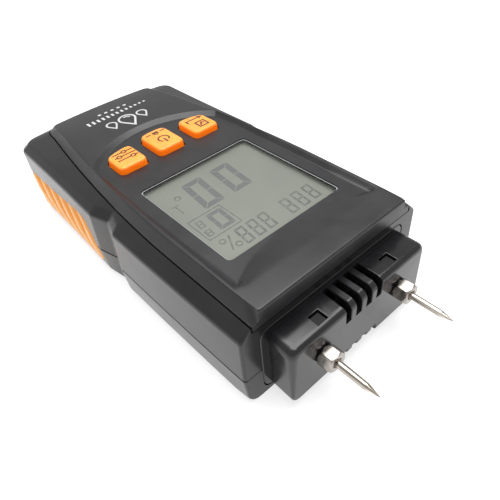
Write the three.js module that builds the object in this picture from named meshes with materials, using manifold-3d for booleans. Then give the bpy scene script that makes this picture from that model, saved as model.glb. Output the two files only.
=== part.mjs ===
// Hand-held pin moisture meter, in millimetres.
// +Y runs from the tail to the needle tips, +Z up out of the display, X across the case.
// The origin is under the middle of the whole meter, on the surface that it lies on.
import * as THREE from "three";
import { mergeVertices } from "three/addons/utils/BufferGeometryUtils.js";
import Module from "manifold-3d";

const wasm = await Module();
wasm.setup();

// ---------------------------------------------------------------- driving dimensions
const GAP = 0.3; // between two pieces that touch

// Case: ends along Y and levels along Z
const HEAD_Y = 54.15; // flat end that carries the probe head
const TAIL_Y = -80.85; // middle of the curved tail end
const PARTING_Z = 11.7; // where the two shells meet
const WALL_TOP_Z = 27.6; // side wall ends, bevel begins
const CREASE_Z = 30.2; // bevel ends, shoulder begins
const SEAM_Z = 31.2; // shoulder meets the front panel
const FACE_Z = 34.7; // top of the front panel
const FIELD_Z = 33.4; // sunken field round the display and buttons
const WALL = 2;
const FLOOR = 2.4;
const CAVITY_TOP_Z = 27.2;
const LEDGE_Z = 28.9; // the front panel's rim rests here

// Half widths of the case at stations along Y, from head to tail; the waist notch is the middle three
const STATIONS = [HEAD_Y, 8, -3.2, -9.8, -17.3, -42, -68];
const NOTCH_LEAN = 0.1; // the notch leans tailwards on its way down
const BOTTOM_HALF = [33.8, 35.2, 35.4, 34.2, 35.8, 35, 34.9];
const PARTING_HALF = [34.8, 35.8, 36.2, 34.3, 36.5, 36.1, 35.9];
const WALL_TOP_HALF = [34.4, 35.4, 35.9, 33.7, 36.3, 35.9, 35.8];
const CREASE_HALF = [31.8, 32.6, 32.9, 31.2, 33.8, 33.8, 33.1];
const HEAD_CORNER = 1;
const TAIL_CORNER = 4.2;
const TAIL_ARC_RADIUS = 150;
const CORNER_SWEEP = (72 * Math.PI) / 180;

// Front panel
const PANEL_HALF = 31.1; // widest half width of its seam
const PANEL_TAPER = 6.8; // how much narrower it is at the tail
const TAPER_FROM_Y = 15;
const TAPER_TO_Y = -68;
const PANEL_TAIL_Y = -76.2;
const PANEL_BEVEL = 2.6;
const PANEL_TAIL_Z = 33.2; // the face rolls down a little at the tail
const FIELD_ARC_Y = -42.9; // tail side of the sunken field, where its rim is highest
const FIELD_ARC_RADIUS = 32.8;
const FIELD_BAND = 2; // width of the slope round the field
const FIELD_RIM = { half: 27.4, headY: 46, headRise: -1.2, power: 2 };
const FIELD_FLOOR = { half: 25.7, headY: 37.8, headRise: 6.7, power: 3 };

// Display
const WINDOW_HALF = 21.6;
const WINDOW_TAIL_Y = -8.05;
const WINDOW_HEAD_Y = 35.95;
const BOARD_Z = 22.5;
const BOARD_TOP_Z = 24.1;

// Buttons
const KEY_PITCH = 15.25;
const KEY_HALF = 5.25;
const KEY_HEAD_Y = -19.9;
const KEY_TAIL_Y = -33.9;
const KEY_TOP_Z = 35.7;
const KEY_TRAVEL = 0.8;
const SWITCH_Y = -26.5;

// Probe head and needles
const FLANGE_HALF = 28.5;
const FLANGE_Z = [1.6, 26.6];
const BLOCK_HALF = 26.9;
const BLOCK_Z = [3, 25];
const BLOCK_FRONT_Y = 63.4;
const BLOCK_WALL = 1.8;
const SLOT_PITCH = 4.2;
const SLOT_WIDTH = 2.7;
const SNAP_X = 14;
const PIN_X = 15.55;
const PIN_Z = 15.3;
const NUT_FRONT_Y = 68;
const TIP_Y = 80.85;

// Battery bay in the back of the case
const BAY_HALF = 14.3;
const BAY_Y = [-76.5, -21.5];
const BAY_WALL = 1.1;
const BATTERY_LENGTH = 46.5;
const BAY_TOP_Z = 20.8;
const DOOR_HALF = 17;
const DOOR_TONGUE = 1.4;
const DOOR_HEAD_Y = -24;
const DOOR_TOP_Z = 1.9;

// Screws
const CASE_SCREWS = [[28.5, 40], [-28.5, 40], [28.5, -62], [-28.5, -62]];
const BOARD_SCREWS = [[22, 46], [-22, 46], [18, -58], [-18, -58]];

// Side grips: outline in Y and Z, and the slanting ribs on them
const GRIP_OUTLINE = [[-85, 1.2], [-21, 1.2], [-21, 8], [-24.8, 21.4], [-29.5, 22.2], [-48, 19.6], [-85, 17.8]];
const GRIP_CENTRE = [-50, 11.5];
const GRIP_INNER_X = 28; // the grips wrap round the tail corners to here
const GRIP_PROUD = 0.4;
const GRIP_SUNK = 1.4;
const RIB_COUNT = 5;
const RIB_FIRST_Y = -64.5;
const RIB_PITCH = 8.5;
const RIB_LEAN = 0.28;
const RIB_HALF = 2.6;
const RIB_TOP_Z = 19;

// ---------------------------------------------------------------- shape helpers
const AXES = {
  x: [new THREE.Vector3(0, 1, 0), new THREE.Vector3(0, 0, 1), new THREE.Vector3(1, 0, 0)],
  y: [new THREE.Vector3(0, 0, 1), new THREE.Vector3(1, 0, 0), new THREE.Vector3(0, 1, 0)],
  z: [new THREE.Vector3(1, 0, 0), new THREE.Vector3(0, 1, 0), new THREE.Vector3(0, 0, 1)],
};
// Sections lie across the axis: their points are (y, z) for x, (z, x) for y and (x, y) for z.
const turnTo = (axis) => new THREE.Matrix4().makeBasis(...AXES[axis]);

function solid(geometry) {
  const bare = geometry.clone();
  bare.deleteAttribute("normal");
  bare.deleteAttribute("uv");
  const merged = mergeVertices(bare, 1e-4);
  const mesh = new wasm.Mesh({
    numProp: 3,
    vertProperties: merged.attributes.position.array,
    triVerts: new Uint32Array(merged.index.array),
  });
  return new wasm.Manifold(mesh);
}

function box(x, y, z) {
  const geometry = new THREE.BoxGeometry(x[1] - x[0], y[1] - y[0], z[1] - z[0]);
  geometry.translate((x[0] + x[1]) / 2, (y[0] + y[1]) / 2, (z[0] + z[1]) / 2);
  return solid(geometry);
}

// A corner list with each corner rounded by an arc-like curve.
function rounded(corners, radius, segments = 3) {
  return corners.flatMap(([cx, cy], i) => {
    const corner = new THREE.Vector2(cx, cy);
    const before = new THREE.Vector2(...corners.at(i - 1)).sub(corner);
    const after = new THREE.Vector2(...corners[(i + 1) % corners.length]).sub(corner);
    const start = before.setLength(Math.min(radius, before.length() / 2)).add(corner);
    const end = after.setLength(Math.min(radius, after.length() / 2)).add(corner);
    return new THREE.QuadraticBezierCurve(start, corner, end).getPoints(segments);
  });
}

const rectangle = (a, b) => [[a[0], b[0]], [a[1], b[0]], [a[1], b[1]], [a[0], b[1]]];
const vectors = (points) => points.map((p) => (p.isVector2 ? p : new THREE.Vector2(...p)));

function prism(axis, points, from, to, holes = []) {
  const shape = new THREE.Shape(vectors(points));
  shape.holes = holes.map((hole) => new THREE.Path(vectors(hole)));
  const geometry = new THREE.ExtrudeGeometry(shape, { depth: to - from, bevelEnabled: false });
  geometry.translate(0, 0, from);
  return solid(geometry.applyMatrix4(turnTo(axis)));
}

// Sections of equal point count, joined in order along the axis. heights may vary over a section.
function loft(axis, sections) {
  const count = sections[0].points.length;
  const positions = sections.flatMap(({ points, at }) =>
    vectors(points).flatMap((p) => [p.x, p.y, typeof at === "function" ? at(p) : at]));
  const faces = [];
  for (let s = 0; s + 1 < sections.length; s++)
    for (let i = 0; i < count; i++) {
      const [a, b] = [s * count + i, s * count + ((i + 1) % count)];
      faces.push(a, b, b + count, a, b + count, a + count);
    }
  const cap = (s) => THREE.ShapeUtils.triangulateShape(vectors(sections[s].points), []);
  const last = (sections.length - 1) * count;
  cap(0).forEach(([a, b, c]) => faces.push(c, b, a));
  cap(sections.length - 1).forEach(([a, b, c]) => faces.push(last + a, last + b, last + c));
  const geometry = new THREE.BufferGeometry();
  geometry.setAttribute("position", new THREE.Float32BufferAttribute(positions, 3));
  geometry.setIndex(faces);
  return solid(geometry.applyMatrix4(turnTo(axis)));
}

function turned(axis, centre, profile, segments = 16) {
  const geometry = new THREE.LatheGeometry(vectors(profile), segments);
  geometry.rotateX(Math.PI / 2);
  geometry.applyMatrix4(turnTo(axis));
  return solid(geometry.translate(...centre));
}

const rod = (axis, centre, radius, from, to, segments = 16) =>
  turned(axis, centre, [[0, from], [radius, from], [radius, to], [0, to]], segments);

function wire(route, radius) {
  const curve = new THREE.CatmullRomCurve3(route.map((p) => new THREE.Vector3(...p)), false, "centripetal");
  const section = new THREE.Shape(new THREE.EllipseCurve(0, 0, radius, radius).getPoints(6).slice(0, -1));
  return solid(new THREE.ExtrudeGeometry(section, { steps: 12, extrudePath: curve }));
}

const join = (...solids) => solids.reduce((a, b) => a.add(b));
const cut = (from, ...tools) => tools.reduce((a, b) => a.subtract(b), from);
const BIG = 200;
const slabZ = (from, to) => box([-BIG, BIG], [-BIG, BIG], [from, to]);

// ---------------------------------------------------------------- the model
const meter = new THREE.Group();

const MATERIALS = {
  casing: [0x4a4a4d, 0.6, 0],
  gloss: [0x151519, 0.2, 0],
  rubber: [0xf59331, 0.55, 0],
  key: [0xff9a1f, 0.35, 0],
  clear: [0xdfe4dc, 0.05, 0],
  lcd: [0xa0a596, 0.2, 0],
  white: [0xe8e8e4, 0.5, 0],
  board: [0x1d6b3a, 0.5, 0],
  black: [0x1a1a1c, 0.6, 0],
  steel: [0xc9c7c1, 0.25, 1],
  brass: [0xc9a24a, 0.3, 1],
  red: [0xb3201c, 0.5, 0],
  battery: [0x3a4756, 0.4, 0.3],
};

function piece(name, shape, look) {
  const made = shape.getMesh();
  const geometry = new THREE.BufferGeometry();
  geometry.setAttribute("position", new THREE.BufferAttribute(made.vertProperties, 3));
  geometry.setIndex(new THREE.BufferAttribute(made.triVerts, 1));
  geometry.computeVertexNormals();
  const [color, roughness, metalness] = MATERIALS[look];
  const mesh = new THREE.Mesh(geometry, new THREE.MeshStandardMaterial({ color, roughness, metalness }));
  mesh.name = name;
  meter.add(mesh);
}

// ---------------------------------------------------------------- case outlines
// A closed outline: straight head, the given half widths, round tail corners and a curved tail.
function outline(stations, halves, tailY, { inset = 0, headY = HEAD_Y - inset, corner = TAIL_CORNER } = {}) {
  const side = [[halves[0] - inset - HEAD_CORNER, headY], [halves[0] - inset, headY - HEAD_CORNER]];
  stations.slice(1).forEach((y, i) => side.push([halves[i + 1] - inset, y]));
  const arc = (x) => tailY + inset + TAIL_ARC_RADIUS - Math.sqrt(TAIL_ARC_RADIUS ** 2 - x * x);
  const radius = Math.max(corner - inset, 1);
  const centreX = halves.at(-1) - inset - radius;
  const endX = centreX + radius * Math.cos(CORNER_SWEEP);
  const centreY = arc(endX) + radius * Math.sin(CORNER_SWEEP);
  for (let i = 0; i <= 3; i++) {
    const angle = (CORNER_SWEEP * i) / 3;
    side.push([centreX + radius * Math.cos(angle), centreY - radius * Math.sin(angle)]);
  }
  for (const share of [0.66, 0.33]) side.push([endX * share, arc(endX * share)]);
  const mirrored = side.map(([x, y]) => [-x, y]);
  return [...mirrored, [0, arc(0)], ...side.reverse()];
}

// The solid form of the whole case up to the seam, grown or shrunk by a margin.
function caseForm(margin = 0) {
  const stationsAt = (z) => STATIONS.map((y, i) => (i >= 2 && i <= 4 ? y - NOTCH_LEAN * (WALL_TOP_Z - z) : y));
  const level = (at, halves, tailY, inset, headY = HEAD_Y) => ({
    at,
    points: outline(stationsAt(at), halves, tailY, { inset: inset - margin, headY: headY + margin }),
  });
  return loft("z", [
    level(0, BOTTOM_HALF, TAIL_Y, 1, HEAD_Y - 2.6),
    level(1.2, BOTTOM_HALF, TAIL_Y, 0.2, HEAD_Y - 0.9),
    level(3, BOTTOM_HALF, TAIL_Y, 0),
    level(PARTING_Z, PARTING_HALF, TAIL_Y, 0),
    level(WALL_TOP_Z, WALL_TOP_HALF, TAIL_Y, 0),
    level(CREASE_Z, CREASE_HALF, TAIL_Y + 2.4, 0),
    level(SEAM_Z, CREASE_HALF, TAIL_Y + 3.4, 1.2),
  ]);
}

const PANEL_STATIONS = [HEAD_Y, TAPER_FROM_Y, -3, -17, -30, -42, -55, TAPER_TO_Y];
const taper = (y) => Math.max(0, (TAPER_FROM_Y - y) / (TAPER_FROM_Y - TAPER_TO_Y));
const panelHalf = (y) =>
  PANEL_HALF - PANEL_TAPER * taper(y) ** 1.7 - (0.45 * Math.max(0, y - TAPER_FROM_Y)) / 39;
const panelOutline = (inset, headY) =>
  outline(PANEL_STATIONS, PANEL_STATIONS.map(panelHalf), PANEL_TAIL_Y, { inset, headY, corner: 5 });

// ---------------------------------------------------------------- shells
const gripOutline = (grow) => rounded(GRIP_OUTLINE, 2, 2).map((p) => {
  const centre = new THREE.Vector2(...GRIP_CENTRE);
  const out = p.clone().sub(centre);
  return centre.add(out.setLength(out.length() + grow));
});
const bothSides = (make) => [make(1), make(-1)];
const onSide = (side, near, far) => (side > 0 ? [near, far] : [-far, -near]);
const gripBlank = (side, grow) => prism("x", gripOutline(grow), ...onSide(side, GRIP_INNER_X - grow, 45));

const form = caseForm();
const cavity = caseForm(-WALL).intersect(slabZ(FLOOR, CAVITY_TOP_Z));
const gripSeat = caseForm(-GRIP_SUNK - GAP);
const gripRecesses = bothSides((side) => gripBlank(side, GAP).subtract(gripSeat));
const flangeHole = prism(
  "y",
  rounded(rectangle([FLANGE_Z[0] - GAP, FLANGE_Z[1] + GAP], [-FLANGE_HALF - GAP, FLANGE_HALF + GAP]), 4),
  HEAD_Y - 3,
  HEAD_Y + 3,
);

function upperShell() {
  const walls = cut(form.intersect(slabZ(PARTING_Z + GAP / 2, 40)), cavity);
  const pocket = loft("z", [LEDGE_Z, 33].map((at) => ({ at, points: panelOutline(0, HEAD_Y + 2) })));
  const opening = loft("z", [26, 30].map((at) => ({ at, points: panelOutline(3.2, HEAD_Y - 3.2) })));
  const open = cut(walls, pocket, opening);
  const posts = CASE_SCREWS.map(([x, y]) => rod("z", [x, y, 0], 3.5, 12.2, CAVITY_TOP_Z + 1));
  const pilots = CASE_SCREWS.map(([x, y]) => rod("z", [x, y, 0], 1.7, 10, 20));
  return cut(join(open, ...posts), ...pilots, flangeHole, ...gripRecesses);
}

function lowerShell() {
  const walls = cut(form.intersect(slabZ(-1, PARTING_Z - GAP / 2)), cavity);
  const bayReach = [BAY_Y[0] - BAY_WALL, BAY_Y[1] + BAY_WALL];
  const bayWalls = box([-BAY_HALF - BAY_WALL, BAY_HALF + BAY_WALL], bayReach, [1, BAY_TOP_Z + 1]);
  const rails = box([-DOOR_HALF - 3, DOOR_HALF + 3], bayReach, [1, 4]);
  const posts = CASE_SCREWS.map(([x, y]) => rod("z", [x, y, 0], 3.5, 1, PARTING_Z - 0.2));
  const body = join(walls, bayWalls, rails, ...posts);
  const bay = box([-BAY_HALF, BAY_HALF], BAY_Y, [DOOR_TOP_Z, BAY_TOP_Z]);
  const tongueReach = DOOR_HALF + DOOR_TONGUE + GAP;
  const channel = box([-tongueReach, tongueReach], [-90, DOOR_HEAD_Y + GAP], [0.7, DOOR_TOP_Z + GAP]);
  const mouth = box([-DOOR_HALF - GAP, DOOR_HALF + GAP], [-90, DOOR_HEAD_Y + GAP], [-1, 1]);
  const leadNotch = box([-8, 8], [BAY_Y[1] - 1, BAY_Y[1] + 2], [13, 19]);
  const bores = CASE_SCREWS.map(([x, y]) => rod("z", [x, y, 0], 1.7, -1, 13));
  const sinks = CASE_SCREWS.map(([x, y]) => rod("z", [x, y, 0], 3.1, -1, 3.5));
  return cut(body, bay, channel, mouth, leadNotch, ...bores, ...sinks, flangeHole, ...gripRecesses);
}

function grip(side) {
  const skin = caseForm(GRIP_PROUD).subtract(caseForm(-GRIP_SUNK));
  const pad = gripBlank(side, 0).intersect(skin);
  const ribSkin = caseForm(GRIP_PROUD + 0.6).subtract(caseForm(0)).intersect(gripBlank(side, -1.2));
  const ribs = Array.from({ length: RIB_COUNT }, (_, i) => {
    const yAt = (z) => RIB_FIRST_Y + RIB_PITCH * i + RIB_LEAN * (RIB_TOP_Z - z);
    const edge = (z, half) => [yAt(z) + half, z];
    const corners = [edge(0, -RIB_HALF), edge(0, RIB_HALF), edge(24, RIB_HALF), edge(24, -RIB_HALF)];
    return prism("x", corners, ...onSide(side, GRIP_INNER_X, 45));
  });
  return join(pad, join(...ribs).intersect(ribSkin));
}

piece("upper_shell", upperShell(), "casing");
piece("lower_shell", lowerShell(), "casing");
piece("grip_left", grip(-1), "rubber");
piece("grip_right", grip(1), "rubber");

// ---------------------------------------------------------------- front panel, lens and buttons
const keyCentres = { enter: -KEY_PITCH, power: 0, set: KEY_PITCH };

// Key outline about its own centre line; the outer keys lose their outer tail corner.
function keyOutline(name, grow) {
  const x = keyCentres[name];
  const side = Math.sign(x);
  const [low, high] = [x - KEY_HALF - grow, x + KEY_HALF + grow];
  const tail = (at) => KEY_TAIL_Y - grow + (side === 0 ? 0 : 1.4 + Math.max(0, 2 * side * Math.sign(at - x)));
  const corners = [[low, tail(low)], [high, tail(high)], [high, KEY_HEAD_Y + grow], [low, KEY_HEAD_Y + grow]];
  if (side === 0) corners.splice(1, 0, [x, tail(x) - 0.8]);
  return rounded(corners, 2);
}

const windowOutline = (inset) => rounded(
  rectangle([-WINDOW_HALF + inset, WINDOW_HALF - inset], [WINDOW_TAIL_Y + inset, WINDOW_HEAD_Y - inset]), 1.6);

// The field: an arc towards the tail, straight sides and a curved head edge.
function fieldOutline({ half, headY, headRise, power }, radius) {
  const centreY = FIELD_ARC_Y + FIELD_ARC_RADIUS;
  const reach = Math.asin(Math.min(1, (half - 0.8) / radius));
  const arc = Array.from({ length: 11 }, (_, i) => {
    const angle = reach * (i / 5 - 1);
    return [radius * Math.sin(angle), centreY - radius * Math.cos(angle)];
  });
  const head = Array.from({ length: 9 }, (_, i) => {
    const share = 1 - i / 4;
    return [half * share, headY + headRise * Math.abs(share) ** power];
  });
  return [...arc, ...head];
}

function frontPanel() {
  const roll = (p) => FACE_Z - (FACE_Z - PANEL_TAIL_Z) * Math.max(0, (-52 - p.y) / 22) ** 2;
  const body = loft("z", [
    { at: LEDGE_Z + GAP, points: panelOutline(GAP, HEAD_Y) },
    { at: SEAM_Z, points: panelOutline(GAP, HEAD_Y) },
    { at: roll, points: panelOutline(GAP + PANEL_BEVEL, HEAD_Y) },
  ]);
  const hollow = loft("z", [20, 32.2].map((at) => ({ at, points: panelOutline(4.2, HEAD_Y - 2) })));
  const sunken = loft("z", [
    { at: FIELD_Z, points: fieldOutline(FIELD_FLOOR, FIELD_ARC_RADIUS - FIELD_BAND) },
    { at: FACE_Z, points: fieldOutline(FIELD_RIM, FIELD_ARC_RADIUS) },
    { at: FACE_Z + 1, points: fieldOutline(FIELD_RIM, FIELD_ARC_RADIUS) },
  ]);
  const window = prism("z", windowOutline(0), 30, 40);
  const holes = Object.keys(keyCentres).map((name) => prism("z", keyOutline(name, 0.35), 30, 40));
  const posts = BOARD_SCREWS.map(([x, y]) => rod("z", [x, y, 0], 2.2, BOARD_TOP_Z + GAP, 32.6, 12));
  const pilots = BOARD_SCREWS.map(([x, y]) => rod("z", [x, y, 0], 1.35, 20, 30, 12));
  return cut(join(cut(body, hollow, sunken), ...posts), window, ...holes, ...pilots);
}

function displayLens() {
  return join(prism("z", windowOutline(GAP), 31.2, FIELD_Z - 0.1), prism("z", windowOutline(-1.4), 30.95, 31.9));
}

function key(name) {
  const centre = new THREE.Vector2(keyCentres[name], (KEY_TAIL_Y + KEY_HEAD_Y) / 2);
  const shrink = (by) => keyOutline(name, 0).map((p) => {
    const out = p.clone().sub(centre);
    return centre.clone().add(out.setLength(out.length() - by));
  });
  const cap = loft("z", [
    { at: 31, points: shrink(0) },
    { at: KEY_TOP_Z - 1, points: shrink(0.15) },
    { at: KEY_TOP_Z - 0.3, points: shrink(0.6) },
    { at: KEY_TOP_Z, points: shrink(1.8) },
  ]);
  const flange = prism("z", keyOutline(name, 1), 31, 31.9);
  const stem = rod("z", [centre.x, SWITCH_Y, 0], 2, 29.5, 31.5, 12);
  return join(cap, flange, stem);
}

piece("front_panel", frontPanel(), "casing");
piece("display_lens", displayLens(), "clear");
for (const [name, x] of Object.entries(keyCentres)) {
  piece(`button_${name}`, key(name), "key");
  piece(`plunger_${name}`, rod("z", [x, SWITCH_Y, 0], 1.6, 26.5, 29.2, 12), "black");
  const can = box([x - 3, x + 3], [SWITCH_Y - 3, SWITCH_Y + 3], [BOARD_TOP_Z + GAP, 27.9]);
  piece(`switch_${name}`, cut(can, rod("z", [x, SWITCH_Y, 0], 1.95, 26.5 - KEY_TRAVEL - GAP, 30, 12)), "steel");
}

// ---------------------------------------------------------------- probe head, needles and sensor
function probeHead() {
  const flange = prism(
    "y",
    rounded(rectangle(FLANGE_Z, [-FLANGE_HALF, FLANGE_HALF]), 3.8),
    HEAD_Y - 1.5,
    HEAD_Y,
  );
  const section = (inset, at) => ({
    at,
    points: rounded(
      rectangle([BLOCK_Z[0] + inset, BLOCK_Z[1] - inset], [-BLOCK_HALF + inset, BLOCK_HALF - inset]), 3),
  });
  const block = loft("y", [
    section(0, HEAD_Y - 1),
    section(0, BLOCK_FRONT_Y - 2.4),
    section(0.8, BLOCK_FRONT_Y - 0.8),
    section(2.2, BLOCK_FRONT_Y),
  ]);
  const hollow = loft("y", [section(BLOCK_WALL, 40), section(BLOCK_WALL, BLOCK_FRONT_Y - BLOCK_WALL)]);
  const slots = [-1.5, -0.5, 0.5, 1.5].flatMap((step) => {
    const x = [step * SLOT_PITCH - SLOT_WIDTH / 2, step * SLOT_PITCH + SLOT_WIDTH / 2];
    return [box(x, [HEAD_Y + 0.6, 66], [19.5, 30]), box(x, [HEAD_Y + 0.6, 66], [0, BLOCK_Z[0] + 2])];
  });
  const windows = bothSides((side) =>
    box([side * SNAP_X - 1.8, side * SNAP_X + 1.8], [57.85, 61.4], [-1, 30]));
  const pinHoles = bothSides((side) => rod("y", [side * PIN_X, 0, PIN_Z], 1.7, 60, 66, 12));
  return cut(join(flange, block), hollow, ...slots, ...windows, ...pinHoles);
}

function probeCarrier() {
  const plate = box([-30, 30], [50.1, HEAD_Y - WALL - GAP], [FLOOR + 0.4, 25.8]);
  const spigot = box([-23, 23], [51.5, 54], [5.6, 22.4]);
  const posts = bothSides((side) => rod("y", [side * PIN_X, 0, PIN_Z], 4.2, 53, 61));
  const bores = bothSides((side) => rod("y", [side * PIN_X, 0, PIN_Z], 3.05, 49, 62));
  const tongues = bothSides((side) => {
    const x = [side * SNAP_X - 1.5, side * SNAP_X + 1.5];
    const arms = join(box(x, [53, 61.1], [21.4, 22.8]), box(x, [53, 61.1], [5.2, 6.6]));
    return join(arms, box(x, [58.2, 61.1], [22, 24.2]), box(x, [58.2, 61.1], [3.8, 6]));
  });
  const passage = box([-9, 9], [49, 55], [8, 20]);
  return cut(join(plate, spigot, ...posts, ...tongues), ...bores, passage);
}

const needleProfile = [[0, 55.3], [1.25, 55.3], [1.25, NUT_FRONT_Y + 0.3], [1.05, NUT_FRONT_Y + 0.5],
  [1.05, TIP_Y - 3.9], [0.05, TIP_Y], [0, TIP_Y]];
const hexagon = Array.from({ length: 6 }, (_, i) => {
  const angle = (Math.PI * (i + 0.5)) / 3;
  return [(3 / Math.cos(Math.PI / 6)) * Math.cos(angle), (3 / Math.cos(Math.PI / 6)) * Math.sin(angle)];
});

function pinNut(x) {
  const back = BLOCK_FRONT_Y + GAP;
  const chamfer = turned("y", [0, 0, 0], [[0, back], [3.2, back], [3.5, back + 0.4], [3.5, NUT_FRONT_Y - 0.7],
    [2.7, NUT_FRONT_Y], [0, NUT_FRONT_Y]], 24);
  const blank = prism("y", hexagon, back, NUT_FRONT_Y).intersect(chamfer);
  return blank.subtract(rod("y", [0, 0, 0], 1.55, 60, 70)).translate([x, 0, PIN_Z]);
}

piece("probe_head", probeHead(), "gloss");
piece("probe_carrier", probeCarrier(), "black");
for (const [side, x] of [["right", PIN_X], ["left", -PIN_X]]) {
  const socket = rod("y", [x, 0, PIN_Z], 2.75, 48.5, 61.3);
  piece(`pin_socket_${side}`, cut(socket, rod("y", [x, 0, PIN_Z], 1.6, 55, 63, 12)), "brass");
  piece(`needle_${side}`, turned("y", [x, 0, PIN_Z], needleProfile, 14), "steel");
  piece(`pin_nut_${side}`, pinNut(x), "steel");
  const route = [[x, 48.2, PIN_Z], [x * 0.99, 44, PIN_Z + 1], [x * 0.9, 40.5, 18.5],
    [x * 0.85, 40, BOARD_Z - GAP]];
  piece(`probe_lead_${side}`, wire(route, 0.6), side === "right" ? "red" : "black");
}
piece("sensor_board", box([-8, 8], [57, 58.2], [6, 22]), "board");
piece("humidity_sensor", box([-2.5, 2.5], [58.5, 60], [13, 18]), "white");
const ribbonPath = [[56.7, 10.3], [56.7, 9.5], [44, 9.5], [43.2, 10.3], [43.2, BOARD_Z - GAP],
  [44, BOARD_Z - GAP], [44, 10.3]];
piece("sensor_ribbon", prism("x", ribbonPath, -5, 5), "white");

// ---------------------------------------------------------------- display stack and main board
const boardOutline = [[-24.6, -16], [-22, -36], [-21, -62], [21, -62], [22, -36], [24.6, -16], [24.6, 49.6],
  [-24.6, 49.6]];
const boardHoles = BOARD_SCREWS.map(([x, y]) =>
  new THREE.EllipseCurve(x, y, 1.45, 1.45).getPoints(10).slice(0, -1));
piece("main_board", prism("z", boardOutline, BOARD_Z, BOARD_TOP_Z, boardHoles), "board");
piece("lcd_glass", box([-22.5, 22.5], [-10, 38], [28.75, 30.6]), "lcd");
piece("backlight", box([-20.5, 20.5], [-6.9, 34.9], [26.2, 28.4]), "white");
const frameOuter = rectangle([-24.3, 24.3], [-12, 40]);
const frameInner = rectangle([-22.9, 22.9], [-10.4, 38.4]);
piece("lcd_frame", prism("z", frameOuter, BOARD_TOP_Z + GAP, 30.6, [frameInner]), "black");
piece("contact_strip_tail", box([-20, 20], [-9.8, -7.4], [BOARD_TOP_Z + GAP, 28.4]), "black");
piece("contact_strip_head", box([-20, 20], [35.4, 37.8], [BOARD_TOP_Z + GAP, 28.4]), "black");
piece("controller_chip", box([-6, 6], [10, 22], [20.6, BOARD_Z - GAP]), "black");
piece("buzzer", rod("z", [-15, -6, 0], 6, 15, BOARD_Z - GAP), "black");

// ---------------------------------------------------------------- battery bay
function batteryDoor() {
  const reach = DOOR_HALF + DOOR_TONGUE;
  const plate = join(
    box([-DOOR_HALF, DOOR_HALF], [-90, DOOR_HEAD_Y], [-1, 1.2]),
    box([-reach, reach], [-90, DOOR_HEAD_Y], [1, DOOR_TOP_Z]),
  );
  return plate.intersect(form);
}

function battery() {
  const [from, to] = [BAY_Y[0] + 0.4, BAY_Y[0] + 0.4 + BATTERY_LENGTH];
  const body = prism("y", rounded(rectangle([2.9, 20.4], [-13.25, 13.25]), 2), from, to);
  const studs = bothSides((side) => rod("y", [side * 6.35, 0, 11.6], 2.8, to - 0.5, to + 1.9, 12));
  return join(body, ...studs);
}

piece("battery_door", batteryDoor(), "casing");
piece("battery_pad", box([-9, 9], [-66, -40], [DOOR_TOP_Z + GAP, 2.6]), "black");
piece("battery", battery(), "battery");
piece("battery_snap", box([-12.5, 12.5], [-27.4, -24.9], [5.5, 17.7]), "black");
for (const [name, x, look] of [["battery_lead_red", 4, "red"], ["battery_lead_black", -4, "black"]]) {
  const route = [[x, -24.4, 12.5], [x, -23, 13.2], [x, -21, 16], [x * 1.3, -17.5, 17.5], [x * 1.5, -16, 19.5],
    [x * 1.5, -16, BOARD_Z - GAP]];
  piece(name, wire(route, 0.65), look);
}

// ---------------------------------------------------------------- screws
const place = ([x, y]) => `${y > 0 ? "head" : "tail"}_${x > 0 ? "right" : "left"}`;

// A pan-head screw standing head down, with a cross recess.
function screw([x, y], headZ, headRadius, headHeight, shankRadius, length) {
  const neck = headZ + headHeight;
  const profile = [[0, headZ], [headRadius * 0.8, headZ], [headRadius, headZ + 0.5], [headRadius, neck],
    [shankRadius, neck], [shankRadius, headZ + length - 0.8], [0, headZ + length]];
  const body = turned("z", [0, 0, 0], profile, 16);
  const arm = headRadius * 0.55;
  const recess = join(
    box([-arm, arm], [-0.45, 0.45], [headZ - 1, headZ + 1]),
    box([-0.45, 0.45], [-arm, arm], [headZ - 1, headZ + 1]),
  );
  return body.subtract(recess).translate([x, y, 0]);
}

for (const spot of CASE_SCREWS) piece(`case_screw_${place(spot)}`, screw(spot, 1, 2.7, 2.1, 1.35, 16), "steel");
for (const spot of BOARD_SCREWS)
  piece(`board_screw_${place(spot)}`, screw(spot, 20.8, 2, 1.4, 1, 8), "steel");

export default meter;
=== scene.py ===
from math import acos, asin, atan2, cos, exp, hypot, pi, radians, sin, sqrt

import bmesh
import bpy
from mathutils import Matrix, Vector


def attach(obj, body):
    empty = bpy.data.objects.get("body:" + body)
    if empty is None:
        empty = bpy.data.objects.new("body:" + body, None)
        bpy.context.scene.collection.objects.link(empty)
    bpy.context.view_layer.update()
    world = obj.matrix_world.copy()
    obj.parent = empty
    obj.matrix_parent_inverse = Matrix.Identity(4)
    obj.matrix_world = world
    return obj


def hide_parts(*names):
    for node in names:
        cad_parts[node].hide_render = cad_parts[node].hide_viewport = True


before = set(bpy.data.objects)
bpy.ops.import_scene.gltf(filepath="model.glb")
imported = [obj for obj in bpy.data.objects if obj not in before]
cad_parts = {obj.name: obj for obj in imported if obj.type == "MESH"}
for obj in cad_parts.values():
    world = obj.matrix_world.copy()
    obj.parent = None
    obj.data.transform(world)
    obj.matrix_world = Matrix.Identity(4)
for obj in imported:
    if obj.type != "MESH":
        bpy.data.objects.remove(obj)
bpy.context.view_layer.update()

# Everything below is drawn in millimetres and turned into metres when a piece is finished.
MM = 0.001
HEAD_Y, TAIL_Y = 54.15, -80.85
PARTING_Z, WALL_TOP_Z, CREASE_Z, SEAM_Z = 11.7, 27.6, 30.2, 31.2
FACE_Z, FIELD_Z, LEDGE_Z = 34.7, 33.4, 28.9
PIN_X, PIN_Z = 15.55, 15.3


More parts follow.
